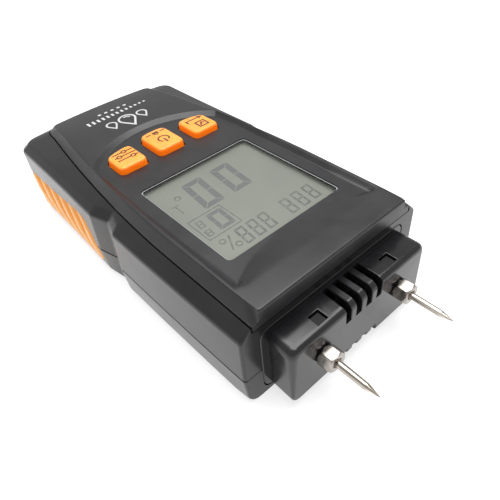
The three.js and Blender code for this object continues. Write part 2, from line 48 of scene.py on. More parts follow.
# ---------------------------------------------------------------- making and joining meshes
def new_piece(name, points, faces):
    mesh = bpy.data.meshes.new(name)
    mesh.from_pydata([tuple(p) for p in points], [], faces)
    piece = bpy.data.objects.new(name, mesh)
    bpy.context.scene.collection.objects.link(piece)
    clean(piece)
    return piece


def clean(piece, distance=0.002):
    """Join points that meet, drop faces of no size, and turn every face outwards."""
    bm = bmesh.new()
    bm.from_mesh(piece.data)
    bmesh.ops.remove_doubles(bm, verts=bm.verts, dist=distance)
    bmesh.ops.dissolve_degenerate(bm, edges=bm.edges, dist=distance)
    bmesh.ops.recalc_face_normals(bm, faces=bm.faces)
    bm.to_mesh(piece.data)
    bm.free()


def loft(name, rings, closed_loop=False):
    """A skin over rings of equal count, capped at both ends or joined end to end."""
    count = len(rings[0])
    points = [p for ring in rings for p in ring]
    spans = len(rings) if closed_loop else len(rings) - 1
    faces = []
    for s in range(spans):
        low, high = s * count, (s + 1) % len(rings) * count
        for i in range(count):
            j = (i + 1) % count
            faces.append((low + i, low + j, high + j, high + i))
    if not closed_loop:
        faces.append(tuple(range(count))[::-1])
        faces.append(tuple(range((len(rings) - 1) * count, len(rings) * count)))
    return new_piece(name, points, faces)


def corner_bend(before, here, after, radius, steps):
    """The corner at here, rounded, and never past the middle of either side."""
    start = here + (before - here) * min(0.5, radius / max((before - here).length, 1e-6))
    end = here + (after - here) * min(0.5, radius / max((after - here).length, 1e-6))
    turn = []
    for s in range(steps + 1):
        t = s / steps
        turn.append(start * (1 - t) ** 2 + here * 2 * t * (1 - t) + end * t * t)
    return turn


def eased(rings, radii, steps=3):
    """The control rings with the corner at each inner ring rounded, point by point."""
    out = [rings[0]]
    for before, here, after, radius in zip(rings, rings[1:], rings[2:], radii):
        if not radius:
            out.append(here)
            continue
        fillet = []
        for a, b, c in zip(before, here, after):
            reach = radius(Vector(b)) if callable(radius) else radius
            fillet.append(corner_bend(Vector(a), Vector(b), Vector(c), reach, steps))
        out += [list(ring) for ring in zip(*fillet)]
    return out + [rings[-1]]


def box(x, y, z, name="block"):
    corners = [(a, b, c) for c in z for b in y for a in x]
    return new_piece(name, corners, [(0, 1, 3, 2), (4, 6, 7, 5), (0, 4, 5, 1), (2, 3, 7, 6),
                                     (0, 2, 6, 4), (1, 5, 7, 3)])


def spin(name, profile, axis="z", centre=(0, 0, 0), steps=32):
    """A profile of (radius, height) turned about an axis."""
    rings = []
    for radius, height in profile:
        ring = []
        for i in range(steps):
            turn = 2 * pi * i / steps
            u, v = max(radius, 1e-4) * cos(turn), max(radius, 1e-4) * sin(turn)
            ring.append(Vector((u, v, height) if axis == "z" else (u, height, v)) + Vector(centre))
        rings.append(ring)
    return loft(name, rings)


def rod(radius, start, end, axis="z", centre=(0, 0, 0), steps=32):
    return spin("rod", [(radius, start), (radius, end)], axis, centre, steps)


def prism(name, corners, start, end, axis="z"):
    """A flat outline pushed along an axis: (x, y) for z, (x, z) for y, (y, z) for x."""
    place = {"z": lambda u, v, w: (u, v, w), "y": lambda u, v, w: (u, w, v),
             "x": lambda u, v, w: (w, u, v)}[axis]
    return loft(name, [[place(u, v, w) for u, v in corners] for w in (start, end)])


def applied(piece):
    """The piece with its modifiers made part of its mesh."""
    depsgraph = bpy.context.evaluated_depsgraph_get()
    mesh = bpy.data.meshes.new_from_object(piece.evaluated_get(depsgraph))
    old = piece.data
    piece.modifiers.clear()
    piece.data = mesh
    bpy.data.meshes.remove(old)
    return piece


def discard(piece):
    mesh = piece.data
    bpy.data.objects.remove(piece)
    bpy.data.meshes.remove(mesh)


def carve(piece, *tools, how="DIFFERENCE"):
    for tool in tools:
        modifier = piece.modifiers.new("carve", "BOOLEAN")
        modifier.operation, modifier.solver, modifier.object = how, "EXACT", tool
        applied(piece)
        discard(tool)
    clean(piece)
    return piece


def add(piece, *others):
    return carve(piece, *others, how="UNION")


def merge(piece, *others):
    """Several meshes as one piece, without cutting them."""
    bm = bmesh.new()
    for part in (piece, *others):
        bm.from_mesh(part.data)
    bm.to_mesh(piece.data)
    bm.free()
    for other in others:
        discard(other)
    return piece


def ease_edges(piece, width, where, steps=2):
    """Round the sharp edges whose middle lies where the test says."""
    sharp = radians(30)
    bm = bmesh.new()
    bm.from_mesh(piece.data)
    edges = [e for e in bm.edges if len(e.link_faces) == 2 and e.calc_face_angle(0) > sharp
             and where((e.verts[0].co + e.verts[1].co) / 2)]
    bmesh.ops.bevel(bm, geom=edges, offset=width, segments=steps, profile=0.5, affect="EDGES",
                    clamp_overlap=True)
    bmesh.ops.recalc_face_normals(bm, faces=bm.faces)
    bm.to_mesh(piece.data)
    bm.free()
    return piece


def rounded(corners, radius, steps=4):
    """A flat outline with each corner rounded."""
    out = []
    for i, corner in enumerate(corners):
        before, after = Vector(corners[i - 1]), Vector(corners[(i + 1) % len(corners)])
        out += [tuple(p) for p in corner_bend(before, Vector(corner), after, radius, steps)]
    return out


def rectangle(u, v):
    return [(u[0], v[0]), (u[1], v[0]), (u[1], v[1]), (u[0], v[1])]


def ramp(value, start, end):
    """0 at start, 1 at end, and straight between."""
    return max(0, min(1, (value - start) / (end - start)))


def finish(piece, body, look, replaces=(), sharp=38, even=True):
    """Into metres, with clean shading, its finish, and its place in the assembly."""
    piece.data.transform(Matrix.Scale(MM, 4))
    piece.data.shade_smooth()
    piece.data.set_sharp_from_angle(angle=radians(sharp))
    if even:
        modifier = piece.modifiers.new("even shading", "WEIGHTED_NORMAL")
        modifier.keep_sharp = True
        applied(piece)
    piece.data.name = piece.name
    piece.data.materials.clear()
    piece.data.materials.append(look)
    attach(piece, body)
    if replaces:
        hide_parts(*replaces)
    return piece


# ---------------------------------------------------------------- node trees for what repeats
def node_tree(name, inputs):
    """An empty geometry tree with its named inputs: the tree, its given values and its output."""
    tree = bpy.data.node_groups.new(name, "GeometryNodeTree")
    tree.interface.new_socket("Geometry", in_out="INPUT", socket_type="NodeSocketGeometry")
    for label, kind in inputs:
        tree.interface.new_socket(label, in_out="INPUT", socket_type="NodeSocket" + kind)
    tree.interface.new_socket("Geometry", in_out="OUTPUT", socket_type="NodeSocketGeometry")
    given = tree.nodes.new("NodeGroupInput").outputs
    return tree, given, tree.nodes.new("NodeGroupOutput").inputs[0]


def node(tree, kind, values=(), **settings):
    """A node with its settings, and each input set to a value or joined to another's output."""
    made = tree.nodes.new(kind)
    for key, value in settings.items():
        setattr(made, key, value)
    for key, value in dict(values).items():
        for part in value if isinstance(value, list) else [value]:
            if isinstance(part, bpy.types.NodeSocket):
                tree.links.new(part, made.inputs[key])
            else:
                made.inputs[key].default_value = part
    return made


def calc(tree, operation, *terms, clamp=False):
    settings = {"operation": operation, "use_clamp": clamp}
    return node(tree, "ShaderNodeMath", enumerate(terms), **settings).outputs[0]


def grown(piece, tree, **sizes):
    """Run a tree on a piece with these sizes and keep the result as the piece's plain mesh."""
    modifier = piece.modifiers.new(tree.name, "NODES")
    modifier.node_group = tree
    for item in tree.interface.items_tree:
        if item.in_out == "INPUT" and item.name in sizes:
            modifier[item.identifier] = sizes[item.name]
    return applied(piece)


def last_steps(tree, geometry, finish_socket, out):
    """Every tree ends the same way: real faces, and their finish."""
    real = node(tree, "GeometryNodeRealizeInstances", {"Geometry": geometry})
    coated = node(tree, "GeometryNodeSetMaterial",
                  {"Geometry": real.outputs[0], "Material": finish_socket})
    tree.links.new(coated.outputs[0], out)


def row_tree():
    """The piece again and again along a step, each a little larger or smaller than the last."""
    tree, given, out = node_tree("row_of_pieces", [
        ("Count", "Int"), ("Start", "Vector"), ("Step", "Vector"), ("Growth", "Vector"),
        ("Finish", "Material")])
    line = node(tree, "GeometryNodeMeshLine", {
        "Count": given["Count"], "Start Location": given["Start"], "Offset": given["Step"]},
        mode="OFFSET")
    index = node(tree, "GeometryNodeInputIndex").outputs[0]
    grow = node(tree, "ShaderNodeVectorMath", {0: given["Growth"], "Scale": index},
                operation="SCALE")
    size = node(tree, "ShaderNodeVectorMath", {0: grow.outputs[0], 1: (1, 1, 1)}, operation="ADD")
    placed = node(tree, "GeometryNodeInstanceOnPoints", {
        "Points": line.outputs[0], "Instance": given["Geometry"], "Scale": size.outputs[0]})
    last_steps(tree, placed.outputs[0], given["Finish"], out)
    return tree


def screw_tree():
    """Cross-head screws, heads facing down, one on each point: head, core, tip and thread."""
    tip_length, core_share, thread_start = 1.2, 0.78, 1.0
    tree, given, out = node_tree("cross_head_screws", [
        ("Head Radius", "Float"), ("Head Height", "Float"), ("Shank Radius", "Float"),
        ("Length", "Float"), ("Thread Pitch", "Float"), ("Finish", "Material")])
    radius, height = given["Head Radius"], given["Head Height"]
    shank, length, pitch = given["Shank Radius"], given["Length"], given["Thread Pitch"]

    def lifted(shape, rise):
        up = node(tree, "ShaderNodeCombineXYZ", {2: rise}).outputs[0]
        moved = node(tree, "GeometryNodeTransform",
                     {"Geometry": shape.outputs[0], "Translation": up})
        return moved.outputs[0]

    head = node(tree, "GeometryNodeMeshCone", {
        "Vertices": 40, "Side Segments": 3, "Radius Bottom": calc(tree, "MULTIPLY", radius, 0.84),
        "Radius Top": radius, "Depth": height}).outputs[0]
    slots = []
    for wide, deep in ((1.25, 0.24), (0.24, 1.25)):
        size = node(tree, "ShaderNodeCombineXYZ", {
            0: calc(tree, "MULTIPLY", radius, wide), 1: calc(tree, "MULTIPLY", radius, deep),
            2: calc(tree, "MULTIPLY", height, 1.2)})
        slots.append(node(tree, "GeometryNodeMeshCube", {"Size": size.outputs[0]}).outputs[0])
    head = node(tree, "GeometryNodeMeshBoolean", {0: head, 1: slots},
                operation="DIFFERENCE").outputs[0]
    core_length = calc(tree, "SUBTRACT", calc(tree, "SUBTRACT", length, height), tip_length)
    core_radius = calc(tree, "MULTIPLY", shank, core_share)
    core = lifted(node(tree, "GeometryNodeMeshCylinder", {
        "Vertices": 20, "Radius": core_radius, "Depth": core_length}),
        calc(tree, "MULTIPLY_ADD", core_length, 0.5, height))
    tip = lifted(node(tree, "GeometryNodeMeshCone", {
        "Vertices": 20, "Radius Bottom": core_radius,
        "Radius Top": calc(tree, "MULTIPLY", shank, 0.3), "Depth": tip_length}),
        calc(tree, "ADD", core_length, height))
    run = calc(tree, "SUBTRACT", core_length, tip_length)
    helix = node(tree, "GeometryNodeCurveSpiral", {
        "Resolution": 14, "Rotations": calc(tree, "DIVIDE", run, pitch),
        "Start Radius": core_radius, "End Radius": core_radius, "Height": run})
    shape = node(tree, "GeometryNodeCurvePrimitiveCircle", {
        "Resolution": 3, "Radius": calc(tree, "MULTIPLY", shank, 0.2)})
    thread = lifted(node(tree, "GeometryNodeCurveToMesh", {
        "Curve": helix.outputs[0], "Profile Curve": shape.outputs[0], "Fill Caps": True}),
        calc(tree, "ADD", height, thread_start))
    whole = node(tree, "GeometryNodeJoinGeometry", {0: [head, core, tip, thread]})
    placed = node(tree, "GeometryNodeInstanceOnPoints", {
        "Points": given["Geometry"], "Instance": whole.outputs[0]})
    last_steps(tree, placed.outputs[0], given["Finish"], out)
    return tree


def ribbed_tree():
    """Leaf-shaped hollows pressed into a pad: crisp on one side, running out on the other."""
    crisp, softness, low_z, low_reach = 0.1, 0.25, 2.6, 2.5
    tree, given, out = node_tree("ribbed_rubber", [
        ("Pitch", "Float"), ("First", "Float"), ("Lean", "Float"), ("Depth", "Float"),
        ("Wide", "Float"), ("Narrow", "Float"), ("Top", "Float"), ("Reach", "Float"),
        ("Finish", "Material")])
    along = node(tree, "GeometryNodeInputNamedAttribute", {"Name": "along"}).outputs[0]
    outward = node(tree, "GeometryNodeInputNamedAttribute", {"Name": "outward"},
                   data_type="FLOAT_VECTOR").outputs[0]
    place = node(tree, "GeometryNodeInputPosition").outputs[0]
    z = node(tree, "ShaderNodeSeparateXYZ", {0: place}).outputs[2]
    drop = calc(tree, "SUBTRACT", given["Top"], z)
    down = calc(tree, "DIVIDE", drop, given["Reach"], clamp=True)
    leaned = calc(tree, "MULTIPLY_ADD", drop, given["Lean"], given["First"])
    turn = calc(tree, "FRACT", calc(tree, "DIVIDE", calc(tree, "SUBTRACT", along, leaned),
                                    given["Pitch"]))
    wide = calc(tree, "MULTIPLY_ADD", calc(tree, "SUBTRACT", given["Narrow"], given["Wide"]),
                down, given["Wide"])
    rise = calc(tree, "DIVIDE", turn, crisp, clamp=True)
    fall = calc(tree, "DIVIDE", calc(tree, "SUBTRACT", turn, crisp), wide)
    fall = calc(tree, "SUBTRACT", 1.0, fall, clamp=True)
    soft = calc(tree, "SMOOTH_MIN", rise, fall, softness)
    low_end = calc(tree, "DIVIDE", calc(tree, "SUBTRACT", z, low_z), low_reach, clamp=True)
    fade = calc(tree, "SUBTRACT", 1.6, calc(tree, "MULTIPLY", down, 1.3), clamp=True)
    hollow = calc(tree, "MULTIPLY", soft, calc(tree, "MULTIPLY", fade, low_end))
    inward = calc(tree, "MULTIPLY", calc(tree, "MULTIPLY", hollow, given["Depth"]), -1.0)
    move = node(tree, "ShaderNodeVectorMath", {0: outward, "Scale": inward}, operation="SCALE")
    moved = node(tree, "GeometryNodeSetPosition",
                 {"Geometry": given["Geometry"], "Offset": move.outputs[0]})
    marked = node(tree, "GeometryNodeStoreNamedAttribute",
                  {"Geometry": moved.outputs[0], "Name": "hollow", "Value": hollow},
                  domain="POINT")
    last_steps(tree, marked.outputs[0], given["Finish"], out)
    return tree


ROW, SCREWS, RIBBED = row_tree(), screw_tree(), ribbed_tree()


# ---------------------------------------------------------------- finishes
def blank_look(name):
    look = bpy.data.materials.new(name)
    look.use_nodes = True
    return look, look.node_tree, look.node_tree.nodes["Principled BSDF"].inputs


def two_colours(tree, share, first, second):
    made = node(tree, "ShaderNodeMix", {0: share, 6: first, 7: second}, data_type="RGBA")
    return made.outputs[2]


def finish_of(name, colour, roughness, second=None, grain=0.3, grain_depth=0.1,
              grain_height=0.02, blotch=9.0, metal=0.0, spread=0.06, stretch=(1, 1, 1),
              specular=0.5, sides=None, crown=(0, 1), hollow=None, translucence_and_painted_glow=0.0):
    """A moulded or machined finish: fine grain in the surface, slow change in colour and gloss.

    Sides is a second colour below the crown heights; the main colour above them is a painted
    lighter top, as if lit from above. Hollow is a darker colour for the pressed places: painted
    shade in the hollows.
    translucence_and_painted_glow lets light through as silicone does, and adds painted light: an
    emission in the sides colour.
    """
    look, tree, shader = blank_look(name)
    shader["Metallic"].default_value = metal
    shader["Specular IOR Level"].default_value = specular
    place = node(tree, "ShaderNodeTexCoord").outputs["Object"]
    turned = node(tree, "ShaderNodeMapping", {"Vector": place, "Scale": stretch}).outputs[0]
    fine = node(tree, "ShaderNodeTexNoise", {
        "Vector": turned, "Scale": 1 / (grain * MM), "Detail": 3}).outputs["Fac"]
    slow = node(tree, "ShaderNodeTexNoise", {
        "Vector": turned, "Scale": 1 / (blotch * MM), "Detail": 4}).outputs["Fac"]
    bump = node(tree, "ShaderNodeBump", {
        "Height": fine, "Strength": grain_depth, "Distance": grain_height * MM})
    tree.links.new(bump.outputs[0], shader["Normal"])
    gloss = node(tree, "ShaderNodeMapRange", {
        "Value": slow, "From Min": 0.3, "From Max": 0.7,
        "To Min": max(0.02, roughness - spread), "To Max": roughness + spread})
    tree.links.new(gloss.outputs[0], shader["Roughness"])
    patch = node(tree, "ShaderNodeMapRange", {"Value": slow, "From Min": 0.35, "From Max": 0.65})
    second = second or [c * 1.18 for c in colour]
    shown = two_colours(tree, patch.outputs[0], (*colour, 1), (*second, 1))
    # Subsurface for real translucence, and an emission in the sides colour: painted light, as
    # though the key were lit from inside.
    if translucence_and_painted_glow:
        shader["Subsurface Weight"].default_value = 0.7
        shader["Subsurface Radius"].default_value = (1.0, 0.4, 0.1)
        shader["Subsurface Scale"].default_value = 3 * MM
        shader["Emission Color"].default_value = (*sides, 1)
        shader["Emission Strength"].default_value = translucence_and_painted_glow
    # The pressed places take the hollow colour: painted shade in the hollows.
    if hollow:
        pressed = node(tree, "ShaderNodeAttribute", attribute_name="hollow").outputs["Fac"]
        shown = two_colours(tree, pressed, shown, (*hollow, 1))
    # Above the crown heights the colour turns from the sides colour to the main colour: a painted
    # lighter top, as if lit from above.
    if sides:
        height = node(tree, "ShaderNodeSeparateXYZ", {0: place}).outputs[2]
        rise = node(tree, "ShaderNodeMapRange", {
            "Value": height, "From Min": crown[0] * MM, "From Max": crown[1] * MM},
            interpolation_type="SMOOTHSTEP").outputs[0]
        shown = two_colours(tree, rise, (*sides, 1), shown)
    tree.links.new(shown, shader["Base Color"])
    return look


def see_through(name, colour, roughness, ior):
    """Clear moulding: bends and mirrors what is seen, and lets soft light and lamps through."""
    look, tree, shader = blank_look(name)
    shader["Base Color"].default_value = (*colour, 1)
    shader["Roughness"].default_value = roughness
    shader["IOR"].default_value = ior
    shader["Transmission Weight"].default_value = 1
    place = node(tree, "ShaderNodeTexCoord").outputs["Object"]
    wave = node(tree, "ShaderNodeTexNoise", {"Vector": place, "Scale": 1 / (14 * MM)})
    bump = node(tree, "ShaderNodeBump", {
        "Height": wave.outputs["Fac"], "Strength": 0.03, "Distance": 0.05 * MM})
    tree.links.new(bump.outputs[0], shader["Normal"])
    path = node(tree, "ShaderNodeLightPath").outputs
    past = calc(tree, "MAXIMUM", path["Is Shadow Ray"], path["Is Diffuse Ray"])
    past = calc(tree, "MAXIMUM", past, path["Is Glossy Ray"])
    through = node(tree, "ShaderNodeBsdfTransparent", {"Color": (0.94, 0.95, 0.94, 1)})
    solid = tree.nodes["Principled BSDF"].outputs[0]
    either = node(tree, "ShaderNodeMixShader", {0: past, 1: solid, 2: through.outputs[0]})
    tree.links.new(either.outputs[0], tree.nodes["Material Output"].inputs["Surface"])
    return look


charcoal = finish_of(
    "charcoal_abs", (0.0115, 0.0115, 0.0125), 0.2, (0.0145, 0.0145, 0.0155), grain=0.34,
    grain_depth=0.8, spread=0.04, specular=0.38)
panel_charcoal = finish_of(
    "charcoal_panel", (0.012, 0.012, 0.0135), 0.36, (0.016, 0.016, 0.0175), grain=0.34,
    grain_depth=1.0, grain_height=0.03)
gloss_black = finish_of(
    "gloss_black_abs", (0.0075, 0.0075, 0.0085), 0.2, (0.0095, 0.0095, 0.011), grain=0.22,
    grain_depth=0.3)
soft_black = finish_of(
    "black_plastic", (0.006, 0.006, 0.007), 0.55, grain=0.4, grain_depth=0.2, specular=0.3)
# The hollow colour is painted shade in the grip's pressed hollows.
orange_rubber = finish_of(
    "orange_rubber", (0.88, 0.41, 0.1), 0.4, (0.93, 0.45, 0.12), grain=0.35, grain_depth=0.25,
    hollow=(0.85, 0.3, 0.012))
# The main colour is a painted lighter top, as if lit from above; the sides colour is the key's
# own, and it is also used for the key's painted emission.
orange_key = finish_of(
    "orange_silicone_key", (0.8, 0.33, 0.055), 0.34, (0.84, 0.36, 0.065), grain_depth=0.12,
    sides=(1.0, 0.2, 0.003), crown=(34.6, 35.6), translucence_and_painted_glow=0.34)
key_ink = finish_of("key_ink", (0.09, 0.02, 0.006), 0.5, grain=0.15)
white_print = finish_of(
    "white_print", (0.55, 0.55, 0.56), 0.5, (0.6, 0.6, 0.61), grain=0.12, grain_depth=0.15)
display_glass = finish_of(
    "display_glass", (0.205, 0.209, 0.186), 0.36, (0.222, 0.227, 0.196), grain=0.6,
    grain_depth=0.004, blotch=25, spread=0.02)
display_ink = finish_of(
    "display_ink", (0.118, 0.118, 0.122), 0.4, (0.132, 0.132, 0.134), grain=0.2,
    grain_depth=0.01)
faint_ink = finish_of(
    "display_ghost", (0.082, 0.083, 0.08), 0.4, (0.158, 0.158, 0.15), grain=0.2,
    grain_depth=0.01, blotch=1.6)
# A pale grey ring round the lens's top edge: a painted highlight where the edge catches light.
painted_lens_edge_highlight = finish_of("painted_lens_edge_highlight", (0.4, 0.41, 0.42), 0.3, grain=0.2)
clear_acrylic = see_through("clear_acrylic", (0.97, 0.98, 0.97), 0.03, 1.25)
# Lengthwise dark and bright streaks: fine drawn lines, and a painted reflection along the needle.
nickel_with_painted_streaks = finish_of(
    "drawn_nickel_painted_reflection", (0.2, 0.17, 0.14), 0.14, (0.8, 0.74, 0.66), grain_depth=0.2, blotch=1.1,
    stretch=(1, 0.03, 1), metal=1.0, spread=0.05)
nut_nickel = finish_of(
    "turned_nickel", (0.26, 0.24, 0.22), 0.22, (0.42, 0.39, 0.36), grain=0.5, grain_depth=0.12,
    blotch=3.4, stretch=(1, 3, 1), metal=1.0)
steel = finish_of(
    "zinc_steel", (0.42, 0.42, 0.41), 0.34, (0.52, 0.52, 0.5), grain=0.4, grain_depth=0.3,
    metal=1.0)
brass = finish_of(
    "turned_brass", (0.78, 0.56, 0.2), 0.26, (0.82, 0.6, 0.25), grain=0.5, grain_depth=0.3,
    metal=1.0)
board_green = finish_of(
    "board_green", (0.012, 0.13, 0.045), 0.35, (0.018, 0.18, 0.06), grain=0.8, grain_depth=0.4,
    blotch=3.5)
white_plastic = finish_of(
    "white_plastic", (0.78, 0.79, 0.77), 0.45, grain=0.4, grain_depth=0.12)
red_sleeve = finish_of("red_sleeve", (0.5, 0.02, 0.015), 0.4, grain=0.5, grain_depth=0.15)
battery_sleeve = finish_of(
    "battery_sleeve", (0.03, 0.06, 0.1), 0.3, (0.05, 0.08, 0.13), grain=0.5, metal=0.3)

# ---------------------------------------------------------------- stage, light and camera
FLOOR_HALF = 1500
LAMP_SPOT, LAMP_SIZE, LAMP_POWER = Vector((-120, -60, 740)), 0.6, 6.0
BACKDROP_LIGHT, BACKDROP_SEEN = 0.65, 1.0
CAMERA_SPOT, CAMERA_LENS = Vector((68.656, 106.407, 116.810)), 33.355
CAMERA_RIGHT = Vector((-0.74382, 0.66382, -0.07794))
CAMERA_UP = Vector((-0.50144, -0.47714, 0.72173))
CAMERA_BACK = Vector((0.44191, 0.57592, 0.68777))


def pale_floor():
    """A floor that shows from above only, so that the underside can be looked at."""
    span = (-FLOOR_HALF, FLOOR_HALF)
    floor = new_piece("floor", [(x, y, 0) for x, y in rectangle(span, span)], [(0, 1, 2, 3)])
    floor.data.transform(Matrix.Scale(MM, 4))
    look, tree, shader = blank_look("pale_floor")
    shader["Base Color"].default_value = (0.5, 0.5, 0.5, 1)
    shader["Roughness"].default_value = 0.9
    shader["Emission Color"].default_value = (1, 1, 1, 1)
    shader["Emission Strength"].default_value = 0.68
    below = node(tree, "ShaderNodeNewGeometry").outputs["Backfacing"]
    clear = node(tree, "ShaderNodeBsdfTransparent").outputs[0]
    solid = tree.nodes["Principled BSDF"].outputs[0]
    either = node(tree, "ShaderNodeMixShader", {0: below, 1: solid, 2: clear})
    tree.links.new(either.outputs[0], tree.nodes["Material Output"].inputs["Surface"])
    floor.data.materials.append(look)


def backdrop():
    """White all round: softer as a light than as it is seen."""
    world = bpy.data.worlds.new("studio")
    bpy.context.scene.world = world
    world.use_nodes = True
    tree = world.node_tree
    seen = node(tree, "ShaderNodeLightPath").outputs["Is Camera Ray"]
    level = node(tree, "ShaderNodeMapRange", {
        "Value": seen, "To Min": BACKDROP_LIGHT, "To Max": BACKDROP_SEEN})
    tree.nodes["Background"].inputs["Color"].default_value = (1, 1, 1, 1)
    tree.links.new(level.outputs[0], tree.nodes["Background"].inputs["Strength"])


def softbox():
    data = bpy.data.lights.new("overhead_softbox", "AREA")
    data.shape, data.size, data.energy = "SQUARE", LAMP_SIZE, LAMP_POWER
    lamp = bpy.data.objects.new("overhead_softbox", data)
    aim = (-LAMP_SPOT).to_track_quat("-Z", "Y").to_matrix().to_4x4()
    lamp.matrix_world = Matrix.Translation(LAMP_SPOT * MM) @ aim
    bpy.context.scene.collection.objects.link(lamp)


def camera():
    data = bpy.data.cameras.new("camera")
    data.lens, data.sensor_width, data.clip_start = CAMERA_LENS, 36, 0.01
    holder = bpy.data.objects.new("camera", data)
    turn = Matrix((CAMERA_RIGHT, CAMERA_UP, CAMERA_BACK)).transposed().to_4x4()
    holder.matrix_world = Matrix.Translation(CAMERA_SPOT * MM) @ turn
    bpy.context.scene.collection.objects.link(holder)
    bpy.context.scene.camera = holder


pale_floor()
backdrop()
softbox()
camera()
bpy.context.scene.view_settings.view_transform = "Standard"

# ---------------------------------------------------------------- outlines of case and panel
NOTCH_VALLEY, NOTCH_HEADWARD, NOTCH_TAILWARD, NOTCH_LEAN = -9.75, 6.5, 7.8, 0.1
TAIL_ARC_RADIUS, TAIL_CORNER, TAIL_STATION = 150, 4.2, -68
PANEL_TAIL_Y = -76.2
SIDE_Y = ([48, 42, 36, 30, 24, 18, 13, 9, 6, 3, 1] + [-0.65 * k for k in range(1, 37)]
          + [-25.5, -28, -32, -36, -41, -46, -51, -56, -61, -66])
# How far the wall stands out and how deep the waist notch is, at each height.
BOTTOM_SWELL, BOTTOM_NOTCH = -0.7, 1.3
PARTING_SWELL, PARTING_NOTCH = 0.3, 2.0
TOP_SWELL, TOP_NOTCH = 0, 2.3


def case_half(y):
    """Half the case's width: widest behind the notch, narrowing to the head."""
    return 35.6 + 0.5 * exp(-((y + 15) / 22) ** 2) - 1.2 * max(0, (y - 8) / 46) ** 1.5


def notch(y):
    away = y - NOTCH_VALLEY
    return max(0, 1 - (away / NOTCH_HEADWARD if away > 0 else -away / NOTCH_TAILWARD))


def panel_half(y):
    """Half the panel's width: tapered to the tail, nearly straight at the window."""
    return 31.1 - 6.8 * (max(0, 15 - y) / 83) ** 1.7 - 0.45 * max(0, y - 15) / 39


def near_notch(y):
    return min(ramp(y, 9, 1), ramp(y, -33, -25))


def outline(half, tail_y, corner=TAIL_CORNER, inset=0.0, head_y=HEAD_Y, head_corner=1.0, lean=0.0):
    """A closed outline of x, y points: straight head, given sides, round corners, curved tail."""
    wide = half(HEAD_Y) - inset
    side = [((wide - head_corner) * i / 6, head_y) for i in range(6)]
    for i in range(5):
        turn = pi / 2 * i / 4
        side.append((wide - head_corner + head_corner * sin(turn),
                     head_y - head_corner + head_corner * cos(turn)))
    side += [(half(y) - inset, y + lean * near_notch(y)) for y in SIDE_Y]
    big, small = TAIL_ARC_RADIUS - inset, max(corner - inset, 0.6)
    centre_x = half(TAIL_STATION) - inset - small
    centre_y = tail_y + TAIL_ARC_RADIUS - sqrt((big - small) ** 2 - centre_x ** 2)
    sweep = acos(centre_x / (big - small))
    for i in range(9):
        turn = sweep * i / 8
        side.append((centre_x + small * cos(turn), centre_y - small * sin(turn)))
    corner_x = side[-1][0]
    for i in range(1, 13):
        x = corner_x * (1 - i / 12)
        side.append((x, tail_y + TAIL_ARC_RADIUS - sqrt(big ** 2 - x ** 2)))
    return side + [(-x, y) for x, y in side[-2:0:-1]]


def case_ring(z, swell, depth, inset=0.0, tail_in=0.0, head_y=HEAD_Y):
    points = outline(lambda y: case_half(y) + swell - depth * notch(y), TAIL_Y + tail_in,
                     inset=inset, head_y=head_y, lean=-NOTCH_LEAN * (WALL_TOP_Z - z))
    return [(x, y, z) for x, y in points]


def panel_ring(z, inset, head_y=HEAD_Y):
    points = outline(panel_half, PANEL_TAIL_Y, corner=5, inset=inset, head_y=head_y,
                     head_corner=0.3)
    return [(x, y, z) for x, y in points]


# ---------------------------------------------------------------- shells
WALL = 2
GRIP_OUTLINE = [(-76.3, 1.7), (-30, 2.0), (-22.4, 3.0), (-21, 8), (-24.8, 21.4), (-29.5, 22.2),
                (-48, 20.2), (-76.3, 18.9)]
CASE_SCREWS = [(28.5, 40), (-28.5, 40), (28.5, -62), (-28.5, -62)]
BOARD_SCREWS = [(22, 46), (-22, 46), (18, -58), (-18, -58)]
CASE_POST, CASE_BORE, BOARD_POST, BOARD_BORE = 3.5, 1.7, 2.2, 1.35
# The line between the shells: half its gap, where the chamfers end, and how far they go in.
GAP, CHAMFER, CHAMFER_SWELL = 0.14, 0.36, 0.12


def grip_recess(side):
    """What is cut from a flank for its grip, with a seat that follows the wall."""
    corners = rounded(GRIP_OUTLINE, 2.4, 4)
    blank = prism("recess", corners, side * 27.9, side * 45, "x")
    depth = 1.6
    seat = loft("seat", [case_ring(-5, -0.9 - depth, 1.1),
                         case_ring(PARTING_Z, PARTING_SWELL - depth, PARTING_NOTCH),
                         case_ring(WALL_TOP_Z, TOP_SWELL - depth, TOP_NOTCH)])
    return carve(blank, seat)


def flange_hole():
    corners = rounded(rectangle((-28.7, 28.7), (1.4, 26.8)), 4.2, 6)
    return prism("flange_hole", corners, HEAD_Y - 4, HEAD_Y + 4, "y")


def cavity(low, high, low_swell):
    """The room inside, one wall in from the outside."""
    return loft("cavity", [
        case_ring(low, low_swell - WALL, 1.6, tail_in=WALL, head_y=HEAD_Y - WALL),
        case_ring(high, -WALL, 2, tail_in=WALL, head_y=HEAD_Y - WALL)])


